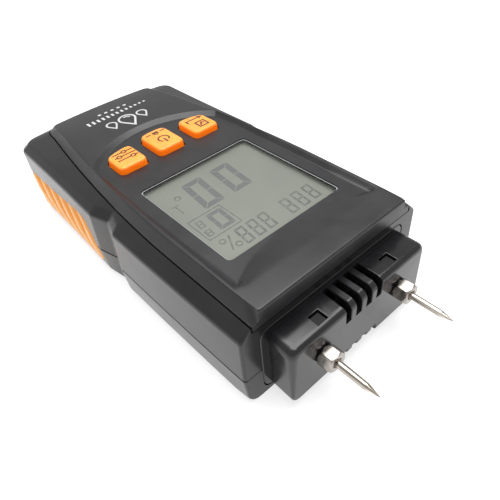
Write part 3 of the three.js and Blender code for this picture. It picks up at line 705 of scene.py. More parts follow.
def upper_shell():
    """Walls, shoulders and bevels, with a pocket for the panel and posts for the case screws."""
    rings = [
        case_ring(PARTING_Z + GAP, CHAMFER_SWELL, PARTING_NOTCH),
        case_ring(PARTING_Z + CHAMFER, PARTING_SWELL, PARTING_NOTCH),
        case_ring(WALL_TOP_Z, TOP_SWELL, TOP_NOTCH),
        case_ring(CREASE_Z, -2.6, 2.1, tail_in=2.4),
        panel_ring(SEAM_Z + 0.1, 1.0),
    ]
    shell = loft("upper_case", eased(rings, [0.1, 0.9, 0.6]))
    past_head, rim = 60, 3.2
    pocket = loft("pocket", [panel_ring(z, inset, past_head) for z, inset in [
        (LEDGE_Z, -0.16), (SEAM_Z - 0.4, -0.16), (SEAM_Z - 0.05, -0.28), (SEAM_Z + 0.2, -0.6)]])
    opening = loft("opening", [panel_ring(z, rim, HEAD_Y - rim) for z in (26, 30)])
    carve(shell, cavity(10, 27.2, PARTING_SWELL), pocket, opening)
    add(shell, *[rod(CASE_POST, 12.2, 28, centre=(x, y, 0)) for x, y in CASE_SCREWS])
    carve(shell, *[rod(CASE_BORE, 10, 20, centre=(x, y, 0)) for x, y in CASE_SCREWS])
    carve(shell, flange_hole(), grip_recess(1), grip_recess(-1))
    return finish(shell, "case", charcoal, ["upper_shell"])


def lower_shell():
    """The tray: battery bay with its door channel, screw posts and counterbores."""
    rings = [
        case_ring(0, BOTTOM_SWELL, BOTTOM_NOTCH, inset=6),
        case_ring(0, BOTTOM_SWELL, BOTTOM_NOTCH),
        case_ring(PARTING_Z - CHAMFER, PARTING_SWELL, PARTING_NOTCH),
        case_ring(PARTING_Z - GAP, CHAMFER_SWELL, PARTING_NOTCH),
    ]

    def bottom_ease(p):
        return 1.7 + 1.5 * ramp(p.y, 48, 53)

    shell = loft("lower_case", eased(rings, [bottom_ease, 0.1], 4))
    carve(shell, cavity(2.4, 14, BOTTOM_SWELL))
    bay_y, past_tail = (-77.4, -20.4), (-90, -23.75)
    add(shell, box((-15.4, 15.4), bay_y, (1, 21.8)), box((-20, 20), bay_y, (1, 4)),
        *[rod(CASE_POST, 1, 11.5, centre=(x, y, 0)) for x, y in CASE_SCREWS])
    battery_room = box((-14.3, 14.3), (-76.5, -21.5), (1.5, 20.8))
    tongue_channel = box((-18.7, 18.7), past_tail, (0.7, 2.2))
    door_opening = box((-17.25, 17.25), past_tail, (-1, 1))
    lead_opening = box((-8, 8), (-22.5, -19.5), (13, 19))
    carve(shell, battery_room, tongue_channel, door_opening, lead_opening)
    for x, y in CASE_SCREWS:
        carve(shell, rod(CASE_BORE, -1, 13, centre=(x, y, 0)),
              rod(3.1, -1, 3.5, centre=(x, y, 0)))
    carve(shell, flange_hole(), grip_recess(1), grip_recess(-1))
    return finish(shell, "case", charcoal, ["lower_shell"])


upper_shell()
lower_shell()

# ---------------------------------------------------------------- front panel
KEYS = {"enter": -15.25, "power": 0.0, "set": 15.25}
KEY_HALF, KEY_HEAD_Y, KEY_TAIL_Y, KEY_MIDDLE_Y = 5.25, -19.9, -33.9, -26.9
WINDOW = ((-21.6, 21.6), (-8.05, 35.95))
WINDOW_CORNER = 1.7
FIELD_ARC_Y, FIELD_ARC_RADIUS = -42.9, 32.8
PANEL_MIDDLE_Y, CREST_INSET = -5, 2.6


def panel_top(y):
    """The panel's height, which falls a little towards the tail."""
    return FACE_Z - 1.5 * max(0, (-52 - y) / 22) ** 2


def key_outline(name, grow):
    """A key seen from above: the outer keys slope back on their outer side."""
    x = KEYS[name]
    side = (x > 0) - (x < 0)
    low, high = x - KEY_HALF - grow, x + KEY_HALF + grow

    def tail(at):
        outer = 2.0 if side and (at - x) * side > 0 else 0
        return KEY_TAIL_Y - grow + (1.4 + outer if side else 0)

    middle = (tail(low) + tail(high)) / 2 - 0.8
    head = KEY_HEAD_Y + grow
    return rounded([(low, tail(low)), (x, middle), (high, tail(high)), (high, head), (low, head)],
                   2.2, 5)


def field_ring(z, half, head_y, head_rise, power, radius):
    """The recessed field's outline: an arc round the keys, straight sides, a bowed head edge."""
    centre_y = FIELD_ARC_Y + FIELD_ARC_RADIUS
    reach = asin((half - 0.8) / radius)
    points = []
    for i in range(73):
        turn = reach * (i / 36 - 1)
        points.append((radius * sin(turn), centre_y - radius * cos(turn), z))
    side_y, head_corner_y = points[-1][1], head_y + head_rise
    for i in range(1, 6):
        points.append((half, side_y + (head_corner_y - side_y) * i / 6, z))
    for i in range(61):
        share = 1 - i / 30
        points.append((half * share, head_y + head_rise * abs(share) ** power, z))
    for i in range(5, 0, -1):
        points.append((-half, side_y + (head_corner_y - side_y) * i / 6, z))
    return points


def meet(points, centre, angles):
    """Where rays from the centre at these angles meet a closed outline."""
    cx, cy = centre
    sides = list(zip(points, points[1:] + points[:1]))
    out = []
    for angle in angles:
        dx, dy = cos(angle), sin(angle)
        best = 0
        for (x0, y0, *_), (x1, y1, *_) in sides:
            ex, ey = x1 - x0, y1 - y0
            cross = dx * ey - dy * ex
            if abs(cross) < 1e-12:
                continue
            reach = ((x0 - cx) * ey - (y0 - cy) * ex) / cross
            share = ((x0 - cx) * dy - (y0 - cy) * dx) / cross
            if reach > best and -1e-6 <= share <= 1 + 1e-6:
                best = reach
        out.append((cx + dx * best, cy + dy * best))
    return out


def panel_skin():
    """The panel's outside: bevelled edge, rim, and the sunken field with its soft head end."""
    centre = (0, PANEL_MIDDLE_Y)
    crest_line = panel_ring(0, CREST_INSET)
    rim_line = field_ring(FACE_Z, 27.4, 46, -1.2, 2, FIELD_ARC_RADIUS)
    floor_line = field_ring(FIELD_Z, 25.7, 37.6, 6.6, 2.4, FIELD_ARC_RADIUS - 2)
    wanted = sorted(atan2(y - centre[1], x - centre[0])
                    for line in (crest_line, rim_line, floor_line) for x, y, _ in line)
    angles = [a for i, a in enumerate(wanted) if i == 0 or a - wanted[i - 1] > 0.002]

    def level(line, z):
        return [(x, y, z(y) if callable(z) else z) for x, y in meet(line, centre, angles)]

    def between(a, b, share):
        mixed = [Vector(p).lerp(Vector(q), share) for p, q in zip(a, b)]
        return [(p.x, p.y, panel_top(p.y)) for p in mixed]

    def rim_ease(p):
        return 0.5 + 1.3 * ramp(p.y, 30, 40)

    def floor_ease(p):
        return 0.3 + 3.2 * ramp(p.y, 28, 36)

    crest, rim = level(crest_line, panel_top), level(rim_line, FACE_Z)
    floor = level(floor_line, FIELD_Z)
    inner = [(x * 0.95, (y - PANEL_MIDDLE_Y) * 0.95 + PANEL_MIDDLE_Y, z) for x, y, z in floor]
    rings = [level(panel_ring(0, 0.12), LEDGE_Z + 0.3), level(panel_ring(0, 0.12), SEAM_Z - 0.1),
             level(panel_ring(0, 0.22), SEAM_Z + 0.15), crest, between(crest, rim, 0.3),
             between(crest, rim, 0.65), rim, floor, inner]
    return loft("front_panel_moulding",
                eased(rings, [0, 0.1, 0.8, 0, 0, rim_ease, floor_ease], 4))


def front_panel():
    """The panel with its posts, its window and its key holes."""
    panel = panel_skin()
    carve(panel, loft("hollow", [panel_ring(z, 4.2, HEAD_Y - 2) for z in (20, 32.2)]))
    add(panel, *[rod(BOARD_POST, 24.4, 32.6, centre=(x, y, 0), steps=20)
                 for x, y in BOARD_SCREWS])
    carve(panel, *[rod(BOARD_BORE, 20, 30, centre=(x, y, 0), steps=20) for x, y in BOARD_SCREWS])
    window = prism("window", rounded(rectangle(*WINDOW), WINDOW_CORNER, 5), 30, 40)
    carve(panel, window, *[prism("key_hole", key_outline(name, 0.3), 30, 40) for name in KEYS])
    ease_edges(panel, 0.22, lambda p: (abs(p.z - FIELD_Z) < 0.02 and abs(p.x) < 24
                                       and -38 < p.y < 36.5), 3)
    return finish(panel, "case", panel_charcoal, ["front_panel"], sharp=34)


front_panel()


# ---------------------------------------------------------------- marks and digits
def flat_marks(name, shapes, height, thickness=0.03):
    """Printed marks with a little thickness, on a height that may change along Y.

    A shape is an outline, or a ribbon: its left edge, its right edge, and whether it closes.
    """
    points, faces = [], []
    for shape in shapes:
        ribbon = isinstance(shape, tuple)
        left, right = shape[:2] if ribbon else (shape, None)
        edge = left + right[::-1] if ribbon else left
        first, count = len(points), len(edge)
        for lift in (-0.06, thickness):
            points += [(x, y, (height(y) if callable(height) else height) + lift)
                       for x, y in edge]
        if ribbon:
            spans = [(i, i + 1, count - 2 - i, count - 1 - i) for i in range(len(left) - 1)]
        else:
            spans = [tuple(range(count))]
        for span in spans:
            faces.append(tuple(first + i for i in span)[::-1])
            faces.append(tuple(first + count + i for i in span))
        open_ends = (len(left) - 1, count - 1) if ribbon and shape[2] else ()
        for i in range(count):
            if i not in open_ends:
                a, b = first + i, first + (i + 1) % count
                faces.append((a, b, count + b, count + a))
    return new_piece(name, points, faces)


def stroke(line, width):
    """A line of points as one ribbon with mitred corners, closed where its ends meet."""
    closed = hypot(line[0][0] - line[-1][0], line[0][1] - line[-1][1]) < 0.01
    line = [Vector(p) for p in line]
    left, right = [], []
    for i, here in enumerate(line):
        before = line[i - 1] if i else (line[-2] if closed else None)
        after = line[i + 1] if i < len(line) - 1 else (line[1] if closed else None)
        steps = [(b - a).normalized() for a, b in ((before, here), (here, after))
                 if a is not None and b is not None]
        normals = [Vector((-s.y, s.x)) for s in steps]
        lean = sum(normals, Vector((0, 0))).normalized()
        reach = width / 2 / max(0.35, lean.dot(normals[0]))
        left.append(tuple(here + lean * reach))
        right.append(tuple(here - lean * reach))
    return [(left, right, closed)]


def arc(centre, radius, start, end, steps=16):
    turns = [radians(start + (end - start) * i / steps) for i in range(steps + 1)]
    return [(centre[0] + radius * cos(t), centre[1] + radius * sin(t)) for t in turns]


def digit(wide, high, bar, lean, lit="abcdef"):
    """The mitred bars of one seven-bar digit, its outside corner at the origin."""
    gap = bar * 0.1
    mid, half = high / 2, bar / 2 if "g" in lit else gap
    bars = {
        "a": [(gap, high), (wide - gap, high), (wide - bar - gap, high - bar),
              (bar + gap, high - bar)],
        "b": [(wide, high - gap), (wide, mid + gap), (wide - bar, mid + half),
              (wide - bar, high - bar - gap)],
        "c": [(wide, mid - gap), (wide, gap), (wide - bar, bar + gap), (wide - bar, mid - half)],
        "d": [(gap, 0), (bar + gap, bar), (wide - bar - gap, bar), (wide - gap, 0)],
        "e": [(0, gap), (0, mid - gap), (bar, mid - half), (bar, bar + gap)],
        "f": [(0, mid + gap), (0, high - gap), (bar, high - bar - gap), (bar, mid + half)],
        "g": [(half + gap, mid), (bar + gap, mid + half), (wide - bar - gap, mid + half),
              (wide - half - gap, mid), (wide - bar - gap, mid - half), (bar + gap, mid - half)],
    }
    return [[(x + lean * y, y) for x, y in bars[letter]] for letter in lit]


def shifted(shapes, x, y):
    return [[(u + x, v + y) for u, v in shape] for shape in shapes]


def row_of(name, piece, count, step, look, start=(0, 0, 0), growth=(0, 0, 0)):
    """The row tree run on a piece; growth scales each one about its own start."""
    piece.name = name
    return grown(piece, ROW, Count=count, Start=start, Step=step, Growth=growth, Finish=look)


# ---------------------------------------------------------------- display
LCD_TOP_Z = 30.6
FAINT_THICKNESS = 0.018
EIGHT = "abcdefg"


def window_ring(inset, z):
    (x0, x1), (y0, y1) = WINDOW
    corners = rectangle((x0 + inset, x1 - inset), (y0 + inset, y1 - inset))
    return [(x, y, z) for x, y in rounded(corners, WINDOW_CORNER, 5)]


def window_lens():
    """The clear window with the flange behind it, and a pale ring round its top edge: a painted
    highlight where the edge catches light.
    """
    top = FIELD_Z - 0.5
    lens = loft("clear_lens", [window_ring(inset, z) for inset, z in [
        (-1.4, 30.95), (-1.4, 31.9), (0.12, 31.9), (0.12, top - 0.15), (0.27, top), (2, top)]])
    finish(lens, "case", clear_acrylic, ["display_lens"])
    edge = loft("lens_edge", [window_ring(inset, top + rise) for inset, rise in [
        (0.04, -0.3), (0.04, 0.0), (0.2, 0.06), (0.34, 0.03), (0.34, 0.01), (0.11, -0.3)]], True)
    finish(edge, "case", painted_lens_edge_highlight)


def lcd_panel():
    corners = rounded(rectangle((-22.5, 22.5), (-10, 38)), 0.3, 1)
    glass = prism("lcd_panel", corners, 28.75, LCD_TOP_Z)
    ease_edges(glass, 0.15, lambda p: True, 2)
    finish(glass, "case", display_glass, ["lcd_glass"])


def main_digits():
    big, middle = digit(7.4, 15, 2.1, 0.09), digit(5.4, 8.4, 1.4, 0.06)
    shapes = shifted(big, -9.0, -2.8) + shifted(big, 2.4, -2.8) + shifted(middle, 7.9, 14.5)
    marks = flat_marks("display_digits", shapes, LCD_TOP_Z, 0.02)
    finish(marks, "case", display_ink, even=False)


def small_digits():
    """Two rows of three unlit digits."""
    rows = []
    for name, x, step in (("display_small_digits", -18.2, 4.7), ("second_row", 0.1, 4.3)):
        eight = flat_marks("eight", digit(3.1, 7.2, 0.72, 0.1, EIGHT), LCD_TOP_Z, FAINT_THICKNESS)
        rows.append(row_of(name, eight, 3, (step, 0, 0), faint_ink, (x, 25.5, 0)))
    finish(merge(*rows), "case", faint_ink, even=False)


def display_signs():
    """Unlit signs: a percent sign, a degree ring, a boxed pair of small digits and a mark."""
    signs = stroke([(14.0, 26.0), (16.8, 31.6)], 0.5)
    for centre, radius in (((14.0, 30.8), 0.9), ((16.8, 26.9), 0.9), ((14.1, 1.5), 0.95)):
        signs += stroke(arc(centre, radius, 0, 360), 0.42)
    frame_line = rectangle((7.2, 18.9), (13.4, 24.0))
    signs += stroke(frame_line + frame_line[:1], 0.34)
    signs += shifted(digit(2.1, 3.4, 0.45, 0.1, EIGHT), 15.4, 15.0)
    signs += shifted(digit(2.1, 3.0, 0.45, 0.1, EIGHT), 15.8, 19.8)
    signs += stroke([(17.0, 4.8), (17.0, 8.8)], 0.36) + stroke([(15.6, 4.3), (18.2, 4.3)], 0.36)
    marks = flat_marks("display_signs", signs, LCD_TOP_Z, FAINT_THICKNESS)
    finish(marks, "case", faint_ink, even=False)


window_lens()
lcd_panel()
main_digits()
small_digits()
display_signs()


# ---------------------------------------------------------------- printed marks on the panel
def drop_line(x, y, high):
    """A water drop's outline, tip towards the head."""
    tip = (x, y + high * 0.66)
    return [tip] + arc((x, y), high * 0.33, 150, 390, 20) + [tip]


def panel_print():
    """Three water drops and a row of dots."""
    middle_y, side_y, dots_y = -51.2, -51.4, -63.1
    shapes = stroke(drop_line(0, middle_y, 9.6), 0.8)
    shapes += stroke(arc((0, middle_y), 1.8, 200, 290, 8), 0.65)
    for side in (-1, 1):
        shapes += stroke(drop_line(side * 6.6, side_y, 5.8), 0.65)
    for step in range(5):
        shapes.append(arc((-5.6 + 2.8 * step, dots_y), 0.72, 0, 345, 14))
    finish(flat_marks("panel_print", shapes, panel_top), "case", white_print,
           even=False)


def panel_scale():
    """A scale of ticks, each a little longer than the last."""
    scale_y = -59.8
    slope = (panel_top(-58.0) - panel_top(-60.0)) / 2
    tick = flat_marks("tick", [rectangle((-0.46, 0.46), (0, 1.0))], lambda y: slope * y)
    ticks = row_of("panel_scale", tick, 13, (2.1, 0, 0), white_print,
                   (-12.6, scale_y, panel_top(scale_y)), (0, 0.16, 0.16))
    finish(ticks, "case", white_print, even=False)


panel_print()
panel_scale()


# ---------------------------------------------------------------- keys
def slider_icon():
    """Three setting lines, each with a knob."""
    shapes = []
    for y, knob in ((-24.8, 12.9), (-27.0, 17.0), (-29.2, 14.2)):
        shapes += stroke([(10.9, y), (knob - 0.95, y)], 0.55)
        shapes += stroke([(knob + 0.95, y), (18.7, y)], 0.55)
        shapes += stroke(arc((knob, y), 0.8, 0, 360, 14), 0.5)
    return shapes


def power_icon():
    """A power sign, with a small lock between two dashes under it."""
    x, y, lock_y = -0.3, -26.0, -30.85
    shapes = stroke(arc((x, y), 1.95, 125, 415), 0.62) + stroke([(x, y), (x, -23.2)], 0.62)
    shapes.append(rectangle((-1.45, 0.85), (-32.2, -30.9)))
    shapes += stroke(arc((x, lock_y), 0.72, 0, 180, 10), 0.4)
    for start, end in ((-4.3, -2.2), (1.6, 3.7)):
        shapes += stroke([(start, -31.5), (end, -31.5)], 0.55)
    return shapes


def enter_icon():
    """A check in a box, and a return arrow."""
    box_line = [(-17.7, -26.1), (-14.1, -26.1), (-14.1, -22.5), (-17.7, -22.5), (-17.7, -26.1)]
    check_line = [(-16.9, -24.2), (-16.1, -25.1), (-14.9, -23.3)]
    arrow_line = [(-12.2, -27.3), (-12.2, -29.0), (-17.4, -29.0)]
    arrow_head = [(-19.2, -29.0), (-17.5, -27.9), (-17.5, -30.1)]
    return stroke(box_line, 0.6) + stroke(check_line, 0.6) + stroke(arrow_line, 0.6) + [arrow_head]


KEY_ICONS = {"power": power_icon, "set": slider_icon, "enter": enter_icon}
STEM_Y = -26.5


def key_cap(name):
    """A crowned cap on a flange, its plunger, and the icon printed on it."""
    centre = Vector((KEYS[name], KEY_MIDDLE_Y))

    def ring(z, inset):
        out = []
        for corner in key_outline(name, 0):
            arm = Vector(corner) - centre
            place = centre + arm * max(0.02, (arm.length - inset) / arm.length)
            out.append((place.x, place.y, z))
        return out

    rings = [ring(31.0, 0), ring(35.5, 0.25), ring(35.7, 1.7), ring(35.72, 5.0)]
    cap = loft("key_" + name, eased(rings, [0.9, 0.5], 5))
    add(cap, prism("flange", key_outline(name, 1), 30.6, 31.9),
        rod(2, 29.5, 30.8, centre=(centre.x, STEM_Y, 0), steps=20))
    plunger = spin("plunger_cap_" + name, [(1.3, 26.5), (1.6, 26.8), (1.6, 29.0), (1.4, 29.2)],
                   centre=(centre.x, STEM_Y, 0))
    finish(cap, "key_" + name, orange_key, ["button_" + name], sharp=45)
    finish(plunger, "key_" + name, soft_black, ["plunger_" + name])
    icon = flat_marks("key_icon_" + name, KEY_ICONS[name](), 35.71)
    finish(icon, "key_" + name, key_ink, even=False)


for key_name in KEYS:
    key_cap(key_name)

# ---------------------------------------------------------------- side grips
GRIP_FRONT_Y, GRIP_RUN, GRIP_END_Y = -21.04, 56, -76.2
GRIP_COLUMNS, GRIP_ROWS = 220, 40
GRIP_PROUD, GRIP_SUNK, GRIP_EDGE, GRIP_CLEARANCE = 0.35, -1.45, 0.9, 0.15
WALL_LEVELS = [(1.0, BOTTOM_SWELL, BOTTOM_NOTCH), (PARTING_Z, PARTING_SWELL, PARTING_NOTCH),
               (WALL_TOP_Z, TOP_SWELL, TOP_NOTCH)]


def wall_station(level, proud, along, side):
    """A place on the wall's outline, measured as if it were a straight flank, and the way out."""
    z, swell, depth = level
    ring = case_ring(z, swell + proud, depth)
    line = [Vector((side * x, y, z)) for x, y, _ in ring[:len(ring) // 2 + 1]]
    travelled = [0.0]
    for a, b in zip(line, line[1:]):
        travelled.append(travelled[-1] + (b - a).length)
    base = next(t + p.y for p, t in zip(line, travelled) if p.y < 2)
    goal = base - along
    k = max(i for i, t in enumerate(travelled[:-1]) if t <= goal)
    tangent = (line[k + 1] - line[k]).normalized()
    return line[k] + tangent * (goal - travelled[k]), Vector((-tangent.y, tangent.x, 0)) * side


def grip_span(corners, along):
    """The pad's lowest and highest point at a place along the flank."""
    crossing = max(along, GRIP_END_Y)
    hits = [z0 + (z1 - z0) * (crossing - y0) / (y1 - y0)
            for (y0, z0), (y1, z1) in zip(corners, corners[1:] + corners[:1])
            if (y0 - crossing) * (y1 - crossing) < 0]
    if len(hits) < 2:
        return 7, 9
    return min(hits) + GRIP_CLEARANCE, max(hits) - GRIP_CLEARANCE


def grip_layer(side, proud, outer):
    """One face of the pad: its points, how far along each is, and the way its ribs stand out."""
    corners = rounded(GRIP_OUTLINE, 2.6, 6)
    points, alongs, outwards = [], [], []
    for c in range(GRIP_COLUMNS + 1):
        covered = c / GRIP_COLUMNS
        along = GRIP_FRONT_Y - GRIP_RUN * covered
        low, high = grip_span(corners, along)
        stations = [wall_station(level, proud, along, side) for level in WALL_LEVELS]
        for r in range(GRIP_ROWS + 1):
            z = low + (high - low) * r / GRIP_ROWS
            first = 0 if z < PARTING_Z else 1
            (a, out_a), (b, out_b) = stations[first:first + 2]
            share = (z - a.z) / (b.z - a.z)
            outward = out_a.lerp(out_b, share).normalized()
            from_edge = min(z - low, high - z, GRIP_RUN * covered, GRIP_RUN * (1 - covered))
            ease = sin(min(1, from_edge / GRIP_EDGE) * pi / 2)
            points.append(a.lerp(b, share) - outward * outer * 0.5 * (1 - ease))
            alongs.append(along)
            outwards.append(outward * outer * ease)
    return points, alongs, outwards


def grip_faces():
    """Faces over the outer and the inner layer, and round their edge."""
    row = GRIP_ROWS + 1
    layer = (GRIP_COLUMNS + 1) * row
    faces = []
    for c in range(GRIP_COLUMNS):
        for a in range(c * row, c * row + GRIP_ROWS):
            faces.append((a, a + row, a + row + 1, a + 1))
            faces.append((layer + a, layer + a + 1, layer + a + row + 1, layer + a + row))
        for a in (c * row, c * row + GRIP_ROWS):
            faces.append((a, a + row, layer + a + row, layer + a))
    for a in range(GRIP_ROWS):
        for b in (a, GRIP_COLUMNS * row + a):
            faces.append((b, b + 1, layer + b + 1, layer + b))
    return faces


def grip(side):
    """A rubber pad that wraps from the flank round the tail corner, with hollows pressed in."""
    points, alongs, outwards = [], [], []
    for proud, outer in ((GRIP_PROUD, 1.0), (GRIP_SUNK, 0.0)):
        layer = grip_layer(side, proud, outer)
        points += layer[0]
        alongs += layer[1]
        outwards += layer[2]
    name = "right" if side > 0 else "left"
    mesh = bpy.data.meshes.new("grip")
    mesh.from_pydata([tuple(p) for p in points], [], grip_faces())
    mesh.attributes.new("along", "FLOAT", "POINT").data.foreach_set("value", alongs)
    mesh.attributes.new("outward", "FLOAT_VECTOR", "POINT").data.foreach_set(
        "vector", [n for v in outwards for n in v])
    pad = bpy.data.objects.new("grip_pad_" + name, mesh)
    bpy.context.scene.collection.objects.link(pad)
    grown(pad, RIBBED, Pitch=8.7, First=-36.4, Lean=0.34, Depth=1.15, Wide=0.72, Narrow=0.22,
          Top=20.0, Reach=16.0, Finish=orange_rubber)
    clean(pad, 0.0005)
    for label in ("along", "outward"):
        if label in pad.data.attributes:
            pad.data.attributes.remove(pad.data.attributes[label])
    return finish(pad, "case", orange_rubber, ["grip_" + name], sharp=50)


grip(1)
grip(-1)

# ---------------------------------------------------------------- probe head
BLOCK_HALF, BLOCK_LOW_Z, BLOCK_TOP_Z, BLOCK_FRONT_Y, BLOCK_CORNER = 26.9, 3.0, 25.0, 63.4, 3.0
VENT_PITCH, VENT_HALF, VENT_BACK_Y, FIN_HALF, FIN_EASE = 4.2, 7.3, 54.75, 1.1, 0.3
FRONT_EASE_TOP, FRONT_EASE_LOW = 2.4, 1.0


def block_section(y, inset):
    corners = rectangle((-BLOCK_HALF + inset, BLOCK_HALF - inset),
                        (BLOCK_LOW_Z + inset, BLOCK_TOP_Z - inset))
    return [(x, y, z) for x, z in rounded(corners, max(BLOCK_CORNER - inset, 0.8), 6)]


def fin_line(drop, radius, end):
    """One edge of a fin from the side: forward, round the block's front edge, and down."""
    y = BLOCK_FRONT_Y - drop
    turns = [pi / 2 * i / 6 for i in range(1, 7)]
    return ([(VENT_BACK_Y, -drop), (y - radius, -drop)]
            + [(y - radius + radius * sin(t), radius * (cos(t) - 1) - drop) for t in turns]
            + [(y, end)])


def vent_fin(x, top):
    """One bar between two vents: along the block's top or bottom and down its front."""
    surface = fin_line(0, FRONT_EASE_TOP, -5.8 if top else -3.2)
    inner = fin_line(3.4, 0.8, -5.8 if top else -4.3)
    half, ease = FIN_HALF, FIN_EASE
    right = [(half - ease - 0.1, 0), (half - ease, 0), (half - ease * 0.3, ease * 0.3),
             (half, ease), (half, ease + 0.12)]
    section = [(-u, depth) for u, depth in right[::-1]] + right
    rings = []
    for (y, z), (v, w) in zip(surface, inner):
        shares = [(-half, 1.0)] + [(u, depth / 2) for u, depth in section] + [(half, 1.0)]
        ring = []
        for u, share in shares:
            rise = z + (w - z) * share
            height = BLOCK_TOP_Z + rise if top else BLOCK_LOW_Z - rise
            ring.append((x + u, y + (v - y) * share, height))
        rings.append(ring)
    return loft("fin", rings)


def flange_section(y, inset, corner):
    corners = rectangle((-28.5 + inset, 28.5 - inset), (1.6 + inset, 26.6 - inset))
    return [(x, y, z) for x, z in rounded(corners, corner, 6)]


def probe_head():
    """Flange and hollow block, with vents, snap windows and pin bores cut through."""
    head = loft("probe_block", [
        flange_section(52.8, 0, 3.9), flange_section(53.85, 0, 3.9),
        flange_section(HEAD_Y, 0.3, 3.6),
        [(x, HEAD_Y, z) for x, z in rounded(rectangle((-27.2, 27.2), (2.8, 25.3)), 3.0, 6)]])
    sections = [block_section(53.4, 0), block_section(BLOCK_FRONT_Y, 0),
                block_section(BLOCK_FRONT_Y, 8)]
    add(head, loft("block", eased(
        sections, [lambda p: FRONT_EASE_TOP if p.z > 14 else FRONT_EASE_LOW], 6)))
    carve(head, loft("hollow", [block_section(40, 1.8), block_section(61.6, 1.8)]))
    vents = [box((-VENT_HALF, VENT_HALF), (VENT_BACK_Y, 70), z) for z in ((19.2, 30), (0, 6.2))]
    snaps = [box((s * 14 - 1.8, s * 14 + 1.8), (57.85, 61.4), (-1, 30)) for s in (-1, 1)]
    bores = [rod(1.7, 60, 66, "y", (s * PIN_X, 0, PIN_Z)) for s in (-1, 1)]
    carve(head, *vents, *snaps, *bores)
    ease_edges(head, 0.22, lambda p: (11.5 < abs(p.x) < 16.5 and 57 < p.y < 62
                                      and (p.z > 24.9 or p.z < 3.1)))
    ease_edges(head, FIN_EASE, lambda p: (abs(abs(p.x) - VENT_HALF) < 0.01 and p.y > 54.8
                                          and (p.z > 23.2 or p.y > 61.7)))
    fins = merge(vent_fin(-VENT_PITCH, True), vent_fin(-VENT_PITCH, False))
    clean(fins)
    merge(head, row_of("fins", fins, 3, (VENT_PITCH, 0, 0), gloss_black))
    clean(head)
    return finish(head, "case", gloss_black, ["probe_head"], sharp=35)


def vent_shade_strip():
    """A dark strip behind the lower vents: painted shade, put where the space behind them lies in
    shadow.
    """
    corners = rounded(rectangle((55.0, 62.0), (4.1, 5.9)), 0.4, 3)
    finish(prism("vent_shade_strip", corners, -7.6, 7.6, "x"), "case", soft_black)


probe_head()
vent_shade_strip()

# ---------------------------------------------------------------- needles and nuts
NUT_FLAT, NUT_TURN = 3.0, radians(8)
NUT_PROFILE = [(63.7, 2.9), (63.72, 3.05), (63.9, 3.22), (64.1, 3.36), (64.4, 3.5), (67.2, 3.5),
               (67.45, 3.36), (67.65, 3.2), (67.82, 3.0), (67.95, 2.8), (68.0, 2.6), (67.95, 1.7),
               (67.7, 1.5), (66.5, 1.5)]
NEEDLE_PROFILE = [(0.4, 55.3), (1.25, 55.6), (1.25, 68.2), (1.05, 68.45), (1.05, 76.6),
                  (1.0, 76.95), (0.93, 77.25), (0.62, 78.6), (0.3, 79.9), (0.1, 80.65),
                  (0.03, 80.85)]


def needle(side, x):
    shaft = spin("probe_needle_" + side, NEEDLE_PROFILE, "y", (x, 0, PIN_Z), 40)
    finish(shaft, "pin_" + side, nickel_with_painted_streaks, ["needle_" + side], sharp=50)


def hex_nut(side, x):
    """Six flats under a turned profile: where the profile is smaller, it rounds the corners."""
    rings = []
    for y, turned in NUT_PROFILE:
        ring = []
        for i in range(72):
            turn = 2 * pi * i / 72
            from_flat = (turn + NUT_TURN) % (pi / 3) - pi / 6
            radius = min(NUT_FLAT / cos(from_flat), turned)
            ring.append((x + radius * cos(turn), y, PIN_Z + radius * sin(turn)))
        rings.append(ring)
    nut = loft("hex_nut_" + side, rings)
    finish(nut, "pin_" + side, nut_nickel, ["pin_nut_" + side], sharp=28)


for pin_side, pin_x in (("right", PIN_X), ("left", -PIN_X)):
    needle(pin_side, pin_x)
    hex_nut(pin_side, pin_x)


# ---------------------------------------------------------------- screws
def screws(name, spots, z, **sizes):
    """The screw tree run on one point for each screw."""
    piece = new_piece(name, [(x, y, z) for x, y in spots], [])
    grown(piece, SCREWS, Finish=steel, **sizes)
    nodes = [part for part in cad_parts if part.startswith(name[:-1])]
    return finish(piece, "case", steel, nodes, sharp=30)


screws("case_screws", CASE_SCREWS, 1.0, **{
    "Head Radius": 2.7, "Head Height": 2.1, "Shank Radius": 1.35, "Length": 16.0,
    "Thread Pitch": 1.1})
screws("board_screws", BOARD_SCREWS, 20.8, **{
    "Head Radius": 2.0, "Head Height": 1.4, "Shank Radius": 1.0, "Length": 8.0,
    "Thread Pitch": 0.8})

# ---------------------------------------------------------------- battery and its door
STUD_X, STUD_Z = 6.2, 11.6


def battery_door():
    """The sliding plate: two tongues, pressed grip grooves and an arrow."""
    clearance = 0.12
    form = loft("form", eased([
        case_ring(0, BOTTOM_SWELL - clearance, BOTTOM_NOTCH, inset=6),
        case_ring(0, BOTTOM_SWELL - clearance, BOTTOM_NOTCH, tail_in=clearance),
        case_ring(PARTING_Z, PARTING_SWELL - clearance, PARTING_NOTCH, tail_in=clearance)],
        [lambda p: 1.7], 4))
    length = (-90, -24)
    door = box((-17, 17), length, (-1, 1.2), "door_plate")
    add(door, box((-18.4, 18.4), length, (1, 1.9)))
    carve(door, form, how="INTERSECT")
    groove = prism("groove", rounded(rectangle((-64.9, -64.0), (-1, 0.5)), 0.3, 2), -9, 9, "x")
    grooves = row_of("grooves", groove, 5, (0, -2.0, 0), charcoal)
    arrow = prism("arrow", [(-3.2, -56.5), (3.2, -56.5), (0, -60.2)], -1, 0.4)
    carve(door, grooves, arrow)
    ease_edges(door, 0.25, lambda p: p.z < 0.02)
    return finish(door, "door", charcoal, ["battery_door"])


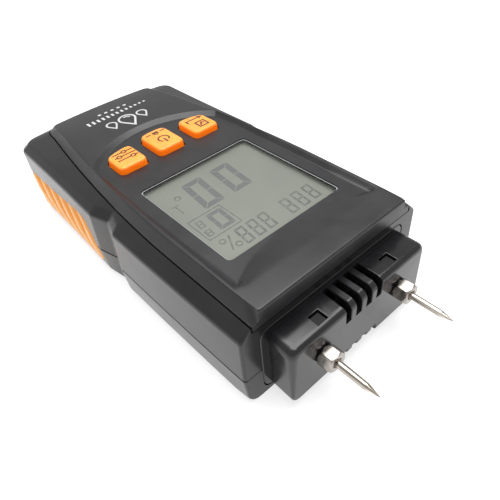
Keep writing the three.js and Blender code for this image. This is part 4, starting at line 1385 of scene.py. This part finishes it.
def battery_can():
    """A can with a crimped bead at each end."""
    def section(y, inset):
        corners = rectangle((-13.25 + inset, 13.25 - inset), (2.9 + inset, 20.4 - inset))
        return [(x, y, z) for x, z in rounded(corners, 2.6 - inset, 5)]

    flush, bead = 0.02, 0.3
    can = loft("battery_can", [section(y, inset) for y, inset in [
        (-76.1, 1.6), (-76.1, 0.7), (-75.8, 0.2), (-75.2, flush), (-74.4, flush), (-74.1, bead),
        (-73.8, bead), (-73.5, flush), (-32.4, flush), (-32.1, bead), (-31.8, bead),
        (-31.5, flush), (-30.6, flush), (-30.1, 0.2), (-29.9, 0.7), (-29.9, 1.6)]])
    finish(can, "case", battery_sleeve, ["battery"])


def battery_studs():
    """The round stud and the six-sided crown."""
    studs = spin("battery_studs", [(2.6, -30.0), (2.6, -28.4), (2.9, -28.1), (2.9, -27.8),
                                   (2.5, -27.7)], "y", (-STUD_X, 0, STUD_Z), 28)
    crown = spin("crown", [(3.2, -30.0), (3.2, -29.0), (4.1, -28.2), (4.1, -27.8), (3.6, -27.7),
                           (3.4, -27.9), (3.4, -29.2)], "y", (STUD_X, 0, STUD_Z), 6)
    finish(merge(studs, crown), "case", steel)


def battery_snap():
    """The clip over the studs."""
    corners = rounded(rectangle((-12.5, 12.5), (5.5, 17.7)), 3.0, 6)
    clip = prism("snap_clip", corners, -27.3, -24.95, "y")
    carve(clip, rod(3.1, -30, -26.4, "y", (-STUD_X, 0, STUD_Z)),
          rod(4.3, -30, -26.4, "y", (STUD_X, 0, STUD_Z)))
    ease_edges(clip, 0.5, lambda p: p.y > -25, 3)
    finish(clip, "case", soft_black, ["battery_snap"])


battery_door()
battery_can()
battery_studs()
battery_snap()

# ---------------------------------------------------------------- carried-over pieces
CARRIED = [
    (soft_black, ["probe_carrier", "lcd_frame", "sensor_board", "humidity_sensor",
                  "contact_strip_tail", "contact_strip_head", "controller_chip", "buzzer",
                  "battery_pad", "probe_lead_left", "battery_lead_black"]),
    (white_plastic, ["backlight", "sensor_ribbon"]),
    (board_green, ["main_board"]),
    (brass, ["pin_socket_right", "pin_socket_left"]),
    (red_sleeve, ["probe_lead_right", "battery_lead_red"]),
    (steel, ["switch_set", "switch_power", "switch_enter"]),
]
for look, names in CARRIED:
    for name in names:
        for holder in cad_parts[name].material_slots:
            holder.material = look
